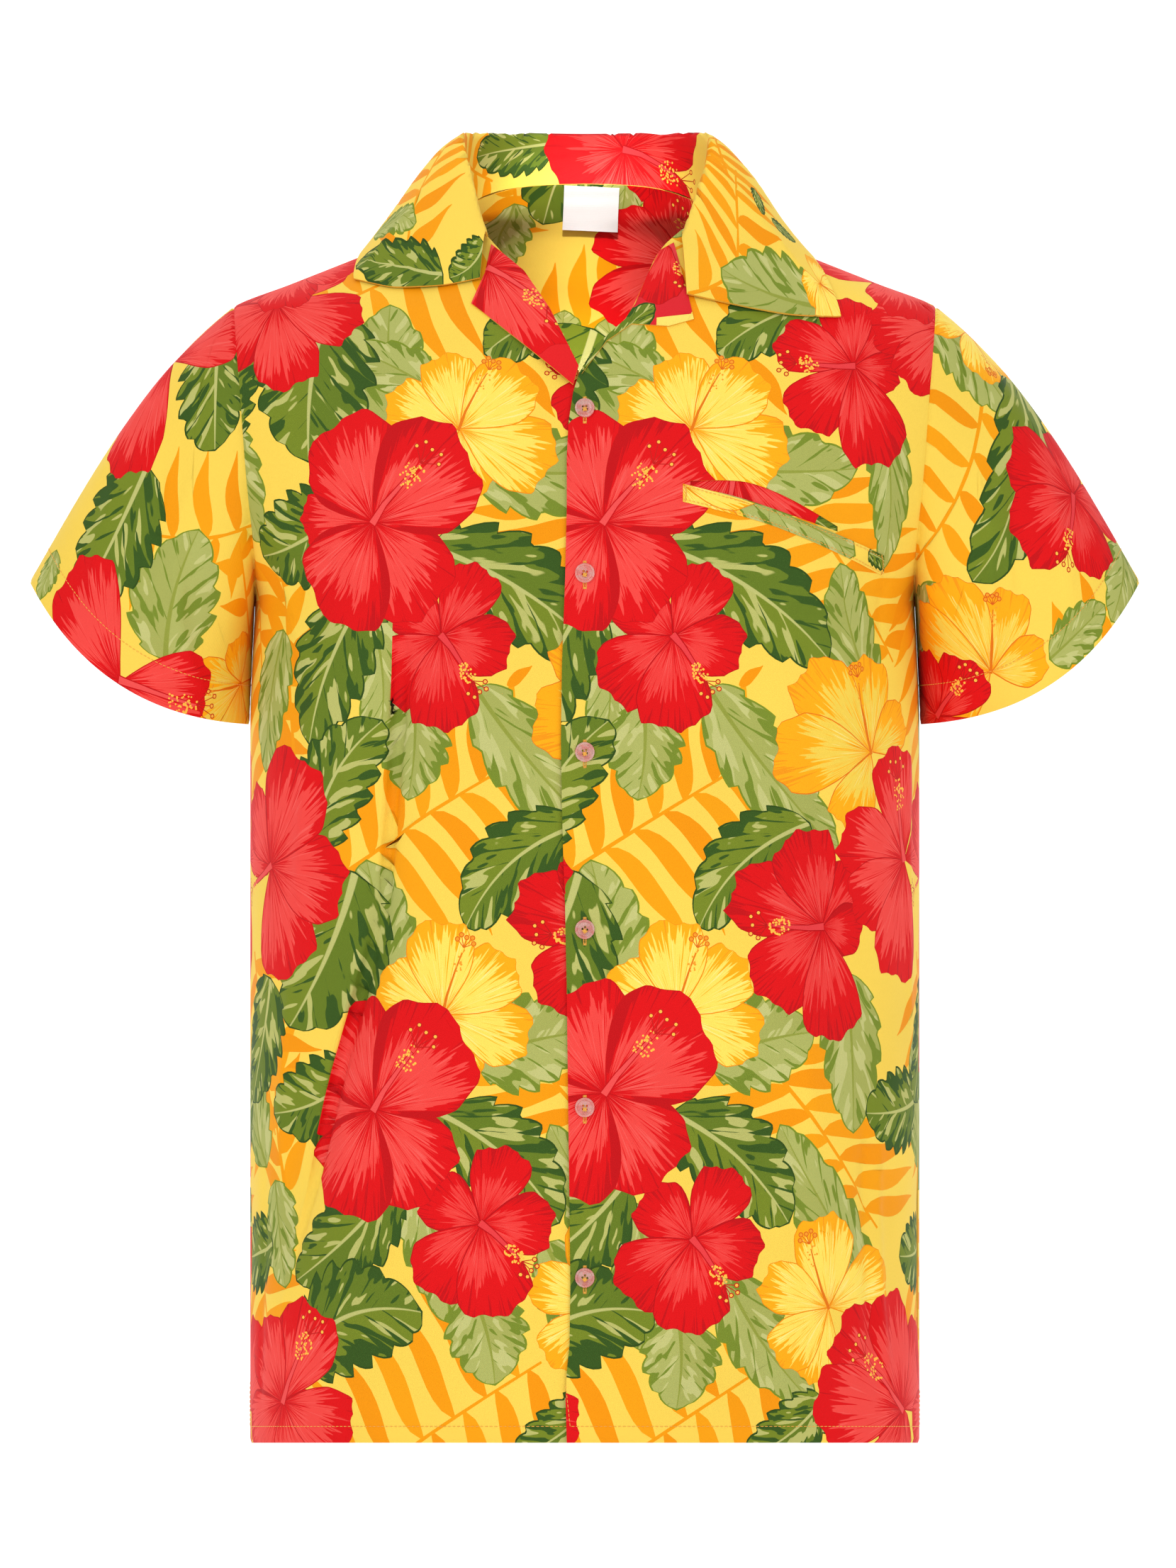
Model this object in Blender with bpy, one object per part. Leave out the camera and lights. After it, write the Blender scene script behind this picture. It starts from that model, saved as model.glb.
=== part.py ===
"""Short-sleeved camp-collar shirt, filled out as if worn and hollow, with each cut piece its own solid.

Frame: +Z is up, the wearer faces -Y and their left is +X. The origin is on the centre line, level with the high
shoulder points where the fall of the collar meets the shoulders. Sizes and tables are in millimetres, and a mesh gets
metres as it is made.
"""

import math

import bpy
import numpy as np
from mathutils import Vector
from mathutils.geometry import delaunay_2d_cdt

MM = 0.001

# Cloth
CLOTH = 1.0
COLLAR_CLOTH = 1.4
SEAM_GAP = 0.3
HALF_GAP = 0.6 * SEAM_GAP
COLLAR_CLEARANCE = 1.2
FACET = 28.0
FINE_FACET = 12.0
SHARP_ANGLE = 40.0

# Body: the shirt's girth is the loop of one row, and its length runs from the high shoulder point to the hem.
HEM = -768.0
ARMPIT = -228.0
SHOULDER_TIP = (226.0, -38.0)
NECK_POINT = (76.5, 21.4)
BACK_NECK = 42.0
ROW_STEP = 3.0
COLUMN_STEP = 3.0
SQUARENESS = ((-300.0, 2.4), (-38.0, 2.2))
VERTICAL_DATUM = -300.0

# Front closure
UNDERLAP = 14.0
UNDERLAP_DROP = 3.0
UNDERLAP_BLEND = 45.0

# Sleeve: the cuff is a tilted oval ring from its outer corner to the corner beside the body.
CUFF_OUTER = (357.0, -215.0)
CUFF_INNER = (219.5, -306.0)
CUFF_HALF_DEPTH = 56.0
CUFF_BOW_FRONT = 24.0
CUFF_BOW_BACK = 12.0
ARMHOLE_POINTS = 12
SLEEVE_RINGS = 25
SLEEVE_RINGS_KEPT = (0, 3, 7, 11, 15, 19, 22, 24)

# Which way a sleeve leaves the armhole and arrives at the cuff, over the shoulder and under the arm
LEAVES_OVER, LEAVES_UNDER = (0.79, 0.0, -0.61), (0.12, 0.0, -1.0)
ARRIVES_OVER, ARRIVES_UNDER = (0.5, 0.0, -0.87), (0.1, 0.0, -1.0)

# Buttons, 20 ligne
BUTTON_RADIUS = 6.3
BUTTON_HEIGHT = 2.4
BUTTON_DISH = 0.8
BUTTON_RIM = 1.3
BUTTON_HOLE_RADIUS = 0.8
BUTTON_HOLE_SPREAD = 1.35
BUTTON_CHAMFER = 0.9
BUTTON_EDGE = 0.5
BUTTON_SIDES = 20
DRILL_SIDES = 6
BUTTON_X = 0.0
BUTTON_SEAT = 0.35
BUTTON_LEVELS = (-104.0, -210.0, -325.0, -439.0, -553.5, -663.0)

# Collar: its table's stations, and how finely they are read
COLLAR_STEPS = 3
COLLAR_EDGE_Y = 6.0
COLLAR_POINTS = (3, 13)
STAND_SHARES = (0.0, 0.45, 0.85)
ROLL_OUT, ROLL_UP = 0.6, 0.2
FALL_OUT, FALL_DOWN = 2.2, 0.4
FALL_SHARES = (0.0, 0.18, 0.42, 0.7, 1.0)
FALL_START_OUT, FALL_START_DOWN, FALL_END = 0.24, 0.12, 0.3

# Neck label
LABEL_SIZE = (36.0, 28.0)
LABEL_CENTRE = (4.0, 26.5)
LABEL_TILT = 2.5
LABEL_THICKNESS = 0.6
LABEL_DEPTH = CLOTH + 0.9

# What lies on a front or behind it: how far its outer face is lifted off the front's own
LAPEL_LIFT = 2.6
LAPEL_THICKNESS = 1.2
WELT_LIFT = 1.5
POCKET_FACING_DEPTH = CLOTH + 0.8
POCKET_FACING_REACH = 7.0


def columns(names, *rows):
    """A table as named columns, so that each row of numbers is one section."""
    return dict(zip(names.split(), np.array(rows, float).T))


BODY = columns(
    "level half_width front_depth back_depth",
    (-780.0, 215.0, 147.0, 150.0),
    (-620.0, 215.0, 147.0, 147.0),
    (-450.0, 215.0, 148.0, 142.0),
    (-306.0, 215.0, 150.0, 145.0),
    (-250.0, 213.0, 150.0, 150.0),
    (ARMPIT, 212.0, 149.5, 151.5),
    (-190.0, 228.0, 147.0, 153.0),
    (-160.0, 241.0, 143.0, 152.0),
    (-130.0, 250.0, 137.0, 149.0),
    (-100.0, 253.0, 128.0, 143.0),
    (-70.0, 248.0, 114.0, 133.0),
    (-52.0, 240.0, 103.0, 125.0),
    (SHOULDER_TIP[1], SHOULDER_TIP[0], 94.0, 117.0),
    (-23.0, 188.4, 82.0, 107.0),
    (-8.0, 150.5, 70.0, 97.0),
    (7.0, 112.8, 58.0, 87.0),
    (NECK_POINT[1], NECK_POINT[0], 47.0, 76.0),
    (32.0, 76.0, 42.0, 68.0),
    (46.0, 76.0, 36.0, 60.0),
)

ARMHOLE = columns(
    "level x",
    (ARMPIT, 212.0),
    (-198.0, 213.5),
    (-147.0, 218.5),
    (-92.0, 222.5),
    (-60.0, 225.0),
    (SHOULDER_TIP[1], SHOULDER_TIP[0]),
)

# Edge of the upper front, from the hem up to the foot of the neck opening.
OVERLAP_EDGE = columns(
    "level x",
    (HEM, -11.8),
    (-732.0, -12.8),
    (-696.0, -9.1),
    (-581.0, -10.5),
    (-438.0, -12.3),
    (-378.0, -14.6),
    (-296.0, -15.9),
    (-182.0, -11.8),
    (-119.0, -11.8),
    (-92.0, -7.7),
)

# Neck openings of the two fronts, from the foot of the opening to the shoulder seam.
OPENING_LEFT = columns(
    "x level",
    (-4.0, -80.0),
    (6.0, -63.0),
    (25.0, -47.0),
    (31.0, -37.0),
    (39.0, -19.0),
    (47.0, -1.0),
    (61.0, 12.0),
    (69.5, 17.0),
)
OPENING_RIGHT = columns(
    "x level",
    (14.0, -104.0),
    (4.0, -92.0),
    (-4.0, -77.0),
    (-13.0, -59.0),
    (-22.0, -41.0),
    (-39.0, -16.0),
    (-55.0, 0.0),
    (-63.0, 9.0),
    (-70.0, 16.0),
)
BACK_NECKLINE = columns("x level", (71.0, 31.0), (52.0, 38.5), (28.0, 41.5), (0.0, BACK_NECK))

# Largest folds: each runs from its start to its end as a soft trough, or a ridge where the depth is negative.
FRONT_FOLDS = columns(
    "start_x start_level end_x end_level depth half_width",
    (-122.0, -262.0, -139.0, -440.0, 7.0, 16.0),
    (-139.0, -440.0, -196.0, -640.0, 8.0, 17.0),
    (-86.0, -300.0, -112.0, -560.0, -4.0, 34.0),
    (150.0, -330.0, 186.0, -600.0, 4.0, 26.0),
    (196.0, -590.0, 200.0, -700.0, 5.0, 16.0),
    (60.0, -430.0, 84.0, -690.0, -3.0, 40.0),
)
BACK_FOLDS = columns(
    "start_x start_level end_x end_level depth half_width",
    (-150.0, -250.0, -120.0, -520.0, 6.0, 26.0),
    (144.0, -270.0, 128.0, -600.0, 6.5, 28.0),
    (-20.0, -330.0, 14.0, -690.0, 4.0, 36.0),
    (70.0, -120.0, 176.0, -230.0, 4.0, 24.0),
    (-76.0, -130.0, -170.0, -220.0, 4.0, 24.0),
)

# Lapels and pocket, as outlines in x and level on the front.
LAPEL_RIGHT = columns(
    "x level",
    (-7.5, -88.0),
    (-4.0, -76.0),
    (-22.0, -40.0),
    (-39.0, -15.0),
    (-60.0, 2.0),
    (-64.0, -16.0),
    (-73.0, -36.0),
)
LAPEL_LEFT = columns(
    "x level",
    (-2.0, -81.0),
    (7.0, -63.0),
    (26.0, -46.0),
    (32.5, -36.0),
    (40.0, -18.0),
    (48.0, -2.0),
    (57.0, 3.0),
    (64.0, -22.0),
    (70.0, -46.0),
    (54.0, -50.5),
    (30.0, -49.0),
    (14.0, -60.0),
)
POCKET_MOUTH = columns(
    "x lower_level upper_level",
    (68.0, -152.6, -149.4),
    (90.0, -157.5, -148.8),
    (106.0, -162.0, -150.0),
    (127.0, -169.3, -158.0),
    (147.0, -176.5, -169.0),
    (163.0, -182.2, -179.0),
)
POCKET_WELT = columns(
    "x lower_level upper_level",
    (63.0, -163.0, -151.5),
    (84.0, -168.0, -156.6),
    (111.0, -175.0, -164.5),
    (132.0, -182.5, -172.0),
    (163.0, -196.0, -184.0),
    (192.0, -211.0, -197.5),
)

# Collar stations from the wearer's right front round the back to the left front. Seam and roll are points, and the
# outer edge is laid on the body at its x and level.
COLLAR = columns(
    "seam_x seam_y seam_level roll_x roll_y roll_level edge_x edge_level edge_side edge_lift",
    (-62.5, -53.5, 8.5, -63.5, -57.5, 11.0, -67.0, -19.0, -1, 4.2),
    (-66.0, -45.5, 13.5, -67.5, -48.0, 24.0, -95.0, -24.0, -1, 3.6),
    (-70.5, -32.0, 18.0, -71.5, -33.0, 42.0, -122.0, -25.0, -1, 3.2),
    (-75.0, -15.0, 21.5, -75.5, -15.0, 60.0, -149.0, -20.0, -1, 3.0),
    (-77.0, 3.0, 25.0, -78.0, 5.0, 72.0, -141.0, -1.5, 0, 3.2),
    (-71.0, 28.0, 32.0, -73.0, 30.0, 74.0, -118.0, -4.0, 1, 3.0),
    (-52.0, 48.0, 39.3, -54.0, 52.0, 73.6, -82.0, 5.0, 1, 3.0),
    (-28.0, 59.0, 42.3, -29.0, 63.0, 73.2, -42.0, 11.0, 1, 3.0),
    (0.0, 62.5, 42.8, 0.0, 66.5, 73.0, 0.0, 13.0, 1, 3.0),
    (28.0, 59.0, 42.3, 29.0, 63.0, 73.2, 42.0, 11.0, 1, 3.0),
    (52.0, 48.0, 39.3, 54.0, 52.0, 73.6, 84.0, 5.0, 1, 3.0),
    (71.0, 28.0, 32.0, 74.0, 30.0, 74.0, 118.0, -4.0, 1, 3.0),
    (77.0, 3.0, 25.0, 80.0, 5.0, 71.0, 137.0, 0.0, 0, 3.2),
    (75.0, -15.0, 21.5, 77.0, -16.0, 52.0, 165.0, -44.0, -1, 3.0),
    (70.5, -32.0, 18.0, 69.5, -35.0, 30.0, 138.0, -43.0, -1, 3.2),
    (66.0, -42.0, 14.0, 64.5, -47.0, 14.0, 111.0, -39.0, -1, 3.6),
    (62.5, -50.5, 9.5, 62.5, -57.0, 5.0, 65.0, -29.0, -1, 5.0),
)


def smooth(table, name, at):
    """Monotone cubic through a table's rows, read in a named column at the first column's values."""
    knots, values = next(iter(table.values())), table[name]
    gaps = np.diff(knots)
    rises = np.diff(values) / gaps
    slopes = np.zeros_like(values)
    same_way = rises[:-1] * rises[1:] > 0
    means = 2 * rises[:-1] * rises[1:] / np.where(same_way, rises[:-1] + rises[1:], 1)
    slopes[1:-1] = np.where(same_way, means, 0)
    at = np.clip(at, knots[0], knots[-1])
    cell = np.clip(np.searchsorted(knots, at, "right") - 1, 0, len(gaps) - 1)
    t = (at - knots[cell]) / gaps[cell]
    start, end = values[cell], values[cell + 1]
    lean = gaps[cell] * (slopes[cell] * t * (1 - t) ** 2 - slopes[cell + 1] * t**2 * (1 - t))
    return start + (end - start) * (3 * t**2 - 2 * t**3) + lean


def squareness(level):
    (low, square), (high, round_) = SQUARENESS
    return np.interp(level, (low, high), (square, round_))


def body_depth(side, x, level):
    """Distance from the side seams' plane to the front (side -1) or the back (side 1), at x on a level."""
    power = squareness(level)
    full = smooth(BODY, "front_depth" if side < 0 else "back_depth", level)
    reach = np.clip(np.abs(x) / smooth(BODY, "half_width", level), 0, 1) ** power
    return full * (1 - reach) ** (1 / power)


def clear_of_body(points, clearance):
    """Points moved straight out of the body's form where they are nearer to it than a clearance."""
    nudge = 0.05

    def form(at):
        power = squareness(at[..., 2])
        wide = np.abs(at[..., 0]) / smooth(BODY, "half_width", at[..., 2])
        front, back = (smooth(BODY, name, at[..., 2]) for name in ("front_depth", "back_depth"))
        deep = np.abs(at[..., 1]) / np.where(at[..., 1] < 0, front, back)
        return (wide**power + deep**power) ** (1 / power) - 1

    for _ in range(6):
        slope = np.stack(
            [(form(points + step) - form(points - step)) / (2 * nudge) for step in nudge * np.eye(3)], axis=-1
        )
        steepness = np.linalg.norm(slope, axis=-1, keepdims=True)
        short = clearance - form(points)[..., None] / steepness
        points = points + np.maximum(short, 0) * slope / steepness
    return points


def fold_drop(folds, x, level):
    """How far the folds push the cloth in, at x on a level."""
    drop = np.zeros(np.broadcast(x, level).shape)
    for row in zip(*folds.values()):
        start_x, start_level, end_x, end_level, depth, half_width = row
        along_x, along_level = end_x - start_x, end_level - start_level
        length = math.hypot(along_x, along_level)
        share = ((x - start_x) * along_x + (level - start_level) * along_level) / length**2
        across = ((x - start_x) * along_level - (level - start_level) * along_x) / length
        fade = np.clip(np.minimum(share + 0.25, 1.25 - share) / 0.5, 0, 1)
        drop = drop + depth * np.exp(-((across / half_width) ** 2)) * fade**2 * (3 - 2 * fade)
    return drop


def unit(vectors):
    return vectors / np.maximum(np.linalg.norm(vectors, axis=-1, keepdims=True), 1e-9)


def facing_out(points, centre):
    """Normals of a grid of points, turned away from a centre."""
    normals = unit(np.cross(np.gradient(points, axis=1), np.gradient(points, axis=0)))
    return normals * np.sign(np.sum(normals * (points - centre), axis=-1, keepdims=True) + 1e-9)


class BodyCloth:
    """The front or the back of the body as a sheet: u is the length round a row from the centre line, on the viewer's
    right as positive, and v is the length up a column. Rows run on past the side seam so that the sheet ends smoothly.
    """

    def __init__(self, side, folds):
        self.side = side
        self.levels = np.arange(HEM - 6, BACK_NECK + 6, ROW_STEP)
        self.across = np.arange(-372.0, 372.1, COLUMN_STEP)
        turns = np.linspace(0, math.pi, 361)
        rows = []
        for level in self.levels:
            power = 2 / squareness(level)
            near, far = ("front_depth", "back_depth") if side < 0 else ("back_depth", "front_depth")
            depth = np.where(turns < math.pi / 2, smooth(BODY, near, level), smooth(BODY, far, level))
            x = smooth(BODY, "half_width", level) * np.sin(turns) ** power
            y = side * depth * np.sign(np.cos(turns)) * np.abs(np.cos(turns)) ** power
            length = np.concatenate([[0], np.cumsum(np.hypot(np.diff(x), np.diff(y)))])
            reach = np.abs(self.across)
            row_x = np.interp(reach, length, x) * np.sign(self.across) * -side
            row_y = np.interp(reach, length, y)
            rows.append(np.stack([row_x, row_y, np.full_like(row_x, level)], axis=-1))
        points = np.array(rows)
        normals = facing_out(points, np.array([0, 0, -300.0]))
        points = points - normals * fold_drop(folds, points[..., 0], points[..., 2])[..., None]
        rises = np.linalg.norm(np.diff(points, axis=0), axis=-1)
        heights = np.concatenate([np.zeros((1, rises.shape[1])), np.cumsum(rises, axis=0)])
        datum = np.argmin(np.abs(self.levels - VERTICAL_DATUM))
        self.heights = heights - heights[datum] + VERTICAL_DATUM
        self.ups = np.arange(self.heights.min(axis=1)[0], self.heights.max(), ROW_STEP)
        resampled = [
            [np.interp(self.ups, self.heights[:, j], points[:, j, axis]) for axis in range(3)]
            for j in range(len(self.across))
        ]
        self.points = np.array(resampled).transpose(2, 0, 1)
        self.normals = facing_out(self.points, np.array([0, 0, -300.0]))

    def flat(self, x, level):
        """Where the point at x on a level lies on the sheet."""
        x, level = np.broadcast_arrays(np.asarray(x, float), np.asarray(level, float))
        found = []
        for one_x, one_level in zip(x.ravel(), level.ravel()):
            turns = np.linspace(0, math.pi / 2, 721)
            power = 2 / squareness(one_level)
            name = "front_depth" if self.side < 0 else "back_depth"
            row_x = smooth(BODY, "half_width", one_level) * np.sin(turns) ** power
            row_y = smooth(BODY, name, one_level) * np.cos(turns) ** power
            length = np.concatenate([[0], np.cumsum(np.hypot(np.diff(row_x), np.diff(row_y)))])
            u = np.interp(abs(one_x), row_x, length) * np.sign(one_x) * -self.side
            row = np.interp(one_level, self.levels, np.arange(len(self.levels)))
            column = np.interp(u, self.across, np.arange(len(self.across)))
            found.append((u, bilinear(self.heights[..., None], row, column)[0]))
        return np.array(found)

    def at(self, uv):
        row = np.interp(uv[:, 1], self.ups, np.arange(len(self.ups)))
        column = np.interp(uv[:, 0], self.across, np.arange(len(self.across)))
        return bilinear(self.points, row, column), unit(bilinear(self.normals, row, column))


def bilinear(grid, row, column):
    row, column = np.atleast_1d(row), np.atleast_1d(column)
    i = np.clip(np.floor(row).astype(int), 0, grid.shape[0] - 2)
    j = np.clip(np.floor(column).astype(int), 0, grid.shape[1] - 2)
    s, t = (row - i)[:, None], (column - j)[:, None]
    low = grid[i, j] * (1 - t) + grid[i, j + 1] * t
    high = grid[i + 1, j] * (1 - t) + grid[i + 1, j + 1] * t
    value = low * (1 - s) + high * s
    return value[:, 0] if grid.shape[-1] == 1 else value


def material(name, colour, roughness=0.7, transmission=0.0):
    made = bpy.data.materials.new(name)
    made.use_nodes = True
    shader = made.node_tree.nodes["Principled BSDF"]
    shader.inputs["Base Color"].default_value = (*colour, 1)
    shader.inputs["Roughness"].default_value = roughness
    shader.inputs["Metallic"].default_value = 0
    shader.inputs["Transmission Weight"].default_value = transmission
    return made


def add_object(name, points, faces, finish):
    mesh = bpy.data.meshes.new(name)
    mesh.from_pydata((np.asarray(points) * MM).tolist(), [], faces)
    mesh.validate()
    mesh.shade_smooth()
    mesh.set_sharp_from_angle(angle=math.radians(SHARP_ANGLE))
    mesh.materials.append(finish)
    obj = bpy.data.objects.new(name, mesh)
    bpy.context.scene.collection.objects.link(obj)
    return obj


def add_wall(name, outer, inner, triangles, finish):
    """A closed wall between two copies of a triangulated sheet, without the points that no triangle uses."""
    used = sorted({corner for face in triangles for corner in face})
    place = {corner: number for number, corner in enumerate(used)}
    triangles = [tuple(place[corner] for corner in face) for face in triangles]
    outer, inner = outer[used], inner[used]
    count = len(outer)
    ends = {}
    for a, b, c in triangles:
        for edge in ((a, b), (b, c), (c, a)):
            ends[edge] = True
    faces = [tuple(face) for face in triangles]
    faces += [(c + count, b + count, a + count) for a, b, c in triangles]
    faces += [(b, a, a + count, b + count) for a, b in ends if (b, a) not in ends]
    return add_object(name, np.vstack([outer, inner]), faces, finish)


def triangulate(outline, spacing, holes=()):
    """Sheet points and triangles inside an outline and outside its holes, with a lattice of points between."""
    loops = [np.asarray(outline)] + [np.asarray(hole) for hole in holes]
    borders = np.vstack(loops)
    low, high = borders.min(axis=0), borders.max(axis=0)
    lattice = np.array(
        [
            (u, v)
            for row, v in enumerate(np.arange(low[1] + spacing / 2, high[1], spacing * 0.87))
            for u in np.arange(low[0] + spacing * (0.25 + 0.5 * (row % 2)), high[0], spacing)
        ]
    )
    if len(lattice):
        clear = np.array([np.min(distance_to_loops(point, loops)) > spacing * 0.45 for point in lattice])
        lattice = lattice[clear]
    points = np.vstack([borders, lattice]) if len(lattice) else borders
    faces, start = [], 0
    for loop in loops:
        faces.append(list(range(start, start + len(loop))))
        start += len(loop)
    vectors = [Vector((u, v)) for u, v in points]
    found, _, triangles, _, _, inside = delaunay_2d_cdt(vectors, [], faces, 0, 1e-4, True)
    kept = [face for face, owners in zip(triangles, inside) if 0 in owners and len(owners) == 1]
    return np.array([(point.x, point.y) for point in found]), kept


def distance_to_loops(point, loops):
    distances = []
    for loop in loops:
        start, end = loop, np.roll(loop, -1, axis=0)
        side = end - start
        share = np.clip(np.sum((point - start) * side, axis=1) / np.maximum(np.sum(side**2, axis=1), 1e-9), 0, 1)
        distances.append(np.min(np.linalg.norm(start + side * share[:, None] - point, axis=1)))
    return distances


def cut(name, cloth, outline, finish, spacing=FACET, holes=(), lift=0.0, thickness=CLOTH):
    """A piece cut from a sheet. Its outer face is lifted off the sheet by a number or a function of sheet points."""
    flat, triangles = triangulate(outline, spacing, holes)
    points, normals = cloth.at(flat)
    rise = lift(points) if callable(lift) else np.full(len(points), lift)
    outer = points + normals * rise[:, None]
    return add_wall(name, outer, outer - normals * thickness, triangles, finish)


def steps(start, end, spacing):
    """Even levels from start to end, both included."""
    return np.linspace(start, end, max(2, round(abs(end - start) / spacing) + 1))


def hem_run(start, end):
    """x and level along the hem between two x values, closer together where the hem turns round the side."""
    reach = BODY["half_width"][0]
    turns = [math.asin(abs(x) / reach) * math.copysign(1, x) for x in (start, end)]
    x = reach * np.sin(steps(*turns, FACET / 200))[1:-1]
    return np.stack([x, np.full_like(x, HEM)], axis=1)


def armhole_levels():
    turns = np.linspace(0, math.pi, ARMHOLE_POINTS + 1)
    middle, half = (ARMPIT + SHOULDER_TIP[1]) / 2, (SHOULDER_TIP[1] - ARMPIT) / 2
    return middle - half * np.cos(turns)


def shoulder_levels():
    return steps(SHOULDER_TIP[1], NECK_POINT[1], 10.0)


def side_run():
    """x and level up the side seam, round the armhole and along the shoulder seam, on the wearer's left."""
    seam = [(smooth(BODY, "half_width", level), level) for level in steps(HEM, ARMPIT, FACET)]
    armhole = [(smooth(ARMHOLE, "x", level), level) for level in armhole_levels()[1:]]
    shoulder = [(smooth(BODY, "half_width", level), level) for level in shoulder_levels()[1:]]
    return np.array(seam + armhole + shoulder)


def pulled_in(outline, gap):
    """The outline moved inwards by a gap, with its corners mitred. It runs anticlockwise."""
    before, after = np.roll(outline, 1, axis=0), np.roll(outline, -1, axis=0)
    inward = lambda side: unit(np.stack([-side[:, 1], side[:, 0]], axis=1))
    first, second = inward(outline - before), inward(after - outline)
    middle = unit(first + second)
    return outline + middle * (gap / np.maximum(np.sum(middle * first, axis=1), 0.4))[:, None]


def anticlockwise(outline):
    x, y = outline[:, 0], outline[:, 1]
    area = np.sum(x * np.roll(y, -1) - y * np.roll(x, -1))
    return outline if area > 0 else outline[::-1]


def outline_on(cloth, points, gap=HALF_GAP):
    return pulled_in(anticlockwise(cloth.flat(points[:, 0], points[:, 1])), gap)


def dense(outline, spacing):
    """The closed outline with points added so that no side is longer than the spacing."""
    points = []
    for start, end in zip(outline, np.roll(outline, -1, axis=0)):
        count = max(1, math.ceil(np.linalg.norm(end - start) / spacing))
        points += [start + (end - start) * step / count for step in range(count)]
    return np.array(points)


def pairs(table, *names):
    return np.stack([table[name] for name in names], axis=1)


def band(table, lower="lower_level", upper="upper_level"):
    """The outline of a strip given by its lower and upper levels."""
    return np.vstack([pairs(table, "x", lower), pairs(table, "x", upper)[::-1]])


def make_back(cloth, finish):
    side = side_run()
    neck = pairs(BACK_NECKLINE, "x", "level")
    half = np.vstack([side, neck])
    hem = hem_run(-BODY["half_width"][0], BODY["half_width"][0])
    mirrored = (half * (-1, 1))[::-1][1:]
    return cut("back", cloth, outline_on(cloth, np.vstack([hem, half, mirrored])), finish)


def make_front_left(cloth, finish):
    edge = np.stack([OVERLAP_EDGE["x"], OVERLAP_EDGE["level"]], axis=1)[::-1]
    hem = hem_run(OVERLAP_EDGE["x"][0], BODY["half_width"][0])
    opening = pairs(OPENING_LEFT, "x", "level")[::-1]
    outline = np.vstack([hem, side_run(), opening, edge])
    mouth = anticlockwise(cloth.flat(*band(POCKET_MOUTH).T))
    return cut("front_left", cloth, outline_on(cloth, outline), finish, holes=(mouth,))


def make_front_right(cloth, finish):
    levels = steps(HEM, OPENING_RIGHT["level"][0], 60.0)[:-1]
    edge = np.stack([np.full_like(levels, UNDERLAP), levels], axis=1)
    opening = pairs(OPENING_RIGHT, "x", "level")
    side = (side_run() * (-1, 1))[::-1]
    hem = hem_run(-BODY["half_width"][0], UNDERLAP)

    def tucked(points):
        share = np.clip((points[:, 0] + UNDERLAP_BLEND + UNDERLAP) / UNDERLAP_BLEND, 0, 1)
        return -UNDERLAP_DROP * share**2 * (3 - 2 * share)

    outline = np.vstack([edge, opening, side, hem])
    return cut("front_right", cloth, outline_on(cloth, outline), finish, lift=tucked)


class SleeveCloth:
    """A sleeve as a grid of points: its rows are rings from the cuff up to the armhole, and its columns run from the
    underarm seam round the front and the back to it again.
    """

    def __init__(self, hand):
        self.hand = hand
        levels = armhole_levels()[::-1]
        front = [self.armhole_point(-1, level) for level in levels]
        back = [self.armhole_point(1, level) for level in levels]
        armhole = np.array(front[::-1] + back[1:])
        turns = np.concatenate([np.linspace(-math.pi, 0, len(levels)), np.linspace(0, math.pi, len(levels))[1:]])
        cuff = np.array([self.cuff_point(turn) for turn in turns])
        low = (1 - np.cos(turns))[:, None] / 2
        leave = unit(np.array(LEAVES_OVER) * (1 - low) + np.array(LEAVES_UNDER) * low)
        arrive = unit(np.array(ARRIVES_OVER) * (1 - low) + np.array(ARRIVES_UNDER) * low)
        chord = np.linalg.norm(cuff - armhole, axis=1)[:, None]
        rows = []
        for t in np.linspace(1, 0, SLEEVE_RINGS):
            bend = (t**3 - 2 * t**2 + t) * leave * chord + (t**3 - t**2) * arrive * chord
            rows.append(armhole * (2 * t**3 - 3 * t**2 + 1) + cuff * (3 * t**2 - 2 * t**3) + bend)
        self.points = np.array(rows) * (hand, 1, 1)
        axis = self.points.mean(axis=1, keepdims=True)
        normals = unit(np.cross(np.gradient(self.points, axis=1), np.gradient(self.points, axis=0)))
        self.normals = normals * np.sign(np.sum(normals * (self.points - axis), axis=-1, keepdims=True))

    def armhole_point(self, side, level):
        x = smooth(ARMHOLE, "x", level)
        return np.array([x, side * body_depth(side, x, level), level])

    def cuff_point(self, turn):
        outer, inner = np.array(CUFF_OUTER), np.array(CUFF_INNER)
        middle, half = (outer + inner) / 2, (outer - inner) / 2
        along = unit(np.array([half[1], -half[0]]))
        bow = CUFF_BOW_FRONT if turn < 0 else CUFF_BOW_BACK
        x, level = middle + half * math.cos(turn) + along * bow * math.sin(turn) ** 2
        return np.array([x, CUFF_HALF_DEPTH * math.sin(turn), level])


def make_sleeve(name, hand, body, finish):
    """The sleeve as a wall of rings, open along its underarm seam by the seam gap."""
    cloth = SleeveCloth(hand)
    rings = list(SLEEVE_RINGS_KEPT)
    points, normals = cloth.points[rings].copy(), cloth.normals[rings].copy()
    seam_normals = armhole_normals(cloth, body)
    normals[-1] = seam_normals
    normals[-2] = unit(normals[-2] + seam_normals)
    away = unit(points[-2] - points[-1])
    points[-1] += away * 2 * HALF_GAP
    points[:, 0] += unit(points[:, 1] - points[:, 0]) * SEAM_GAP / 2
    points[:, -1] += unit(points[:, -2] - points[:, -1]) * SEAM_GAP / 2
    triangles = grid_triangles(*points.shape[:2])
    if hand < 0:
        triangles = [(a, c, b) for a, b, c in triangles]
    outer = points.reshape(-1, 3)
    return add_wall(name, outer, outer - normals.reshape(-1, 3) * CLOTH, triangles, finish)


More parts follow.
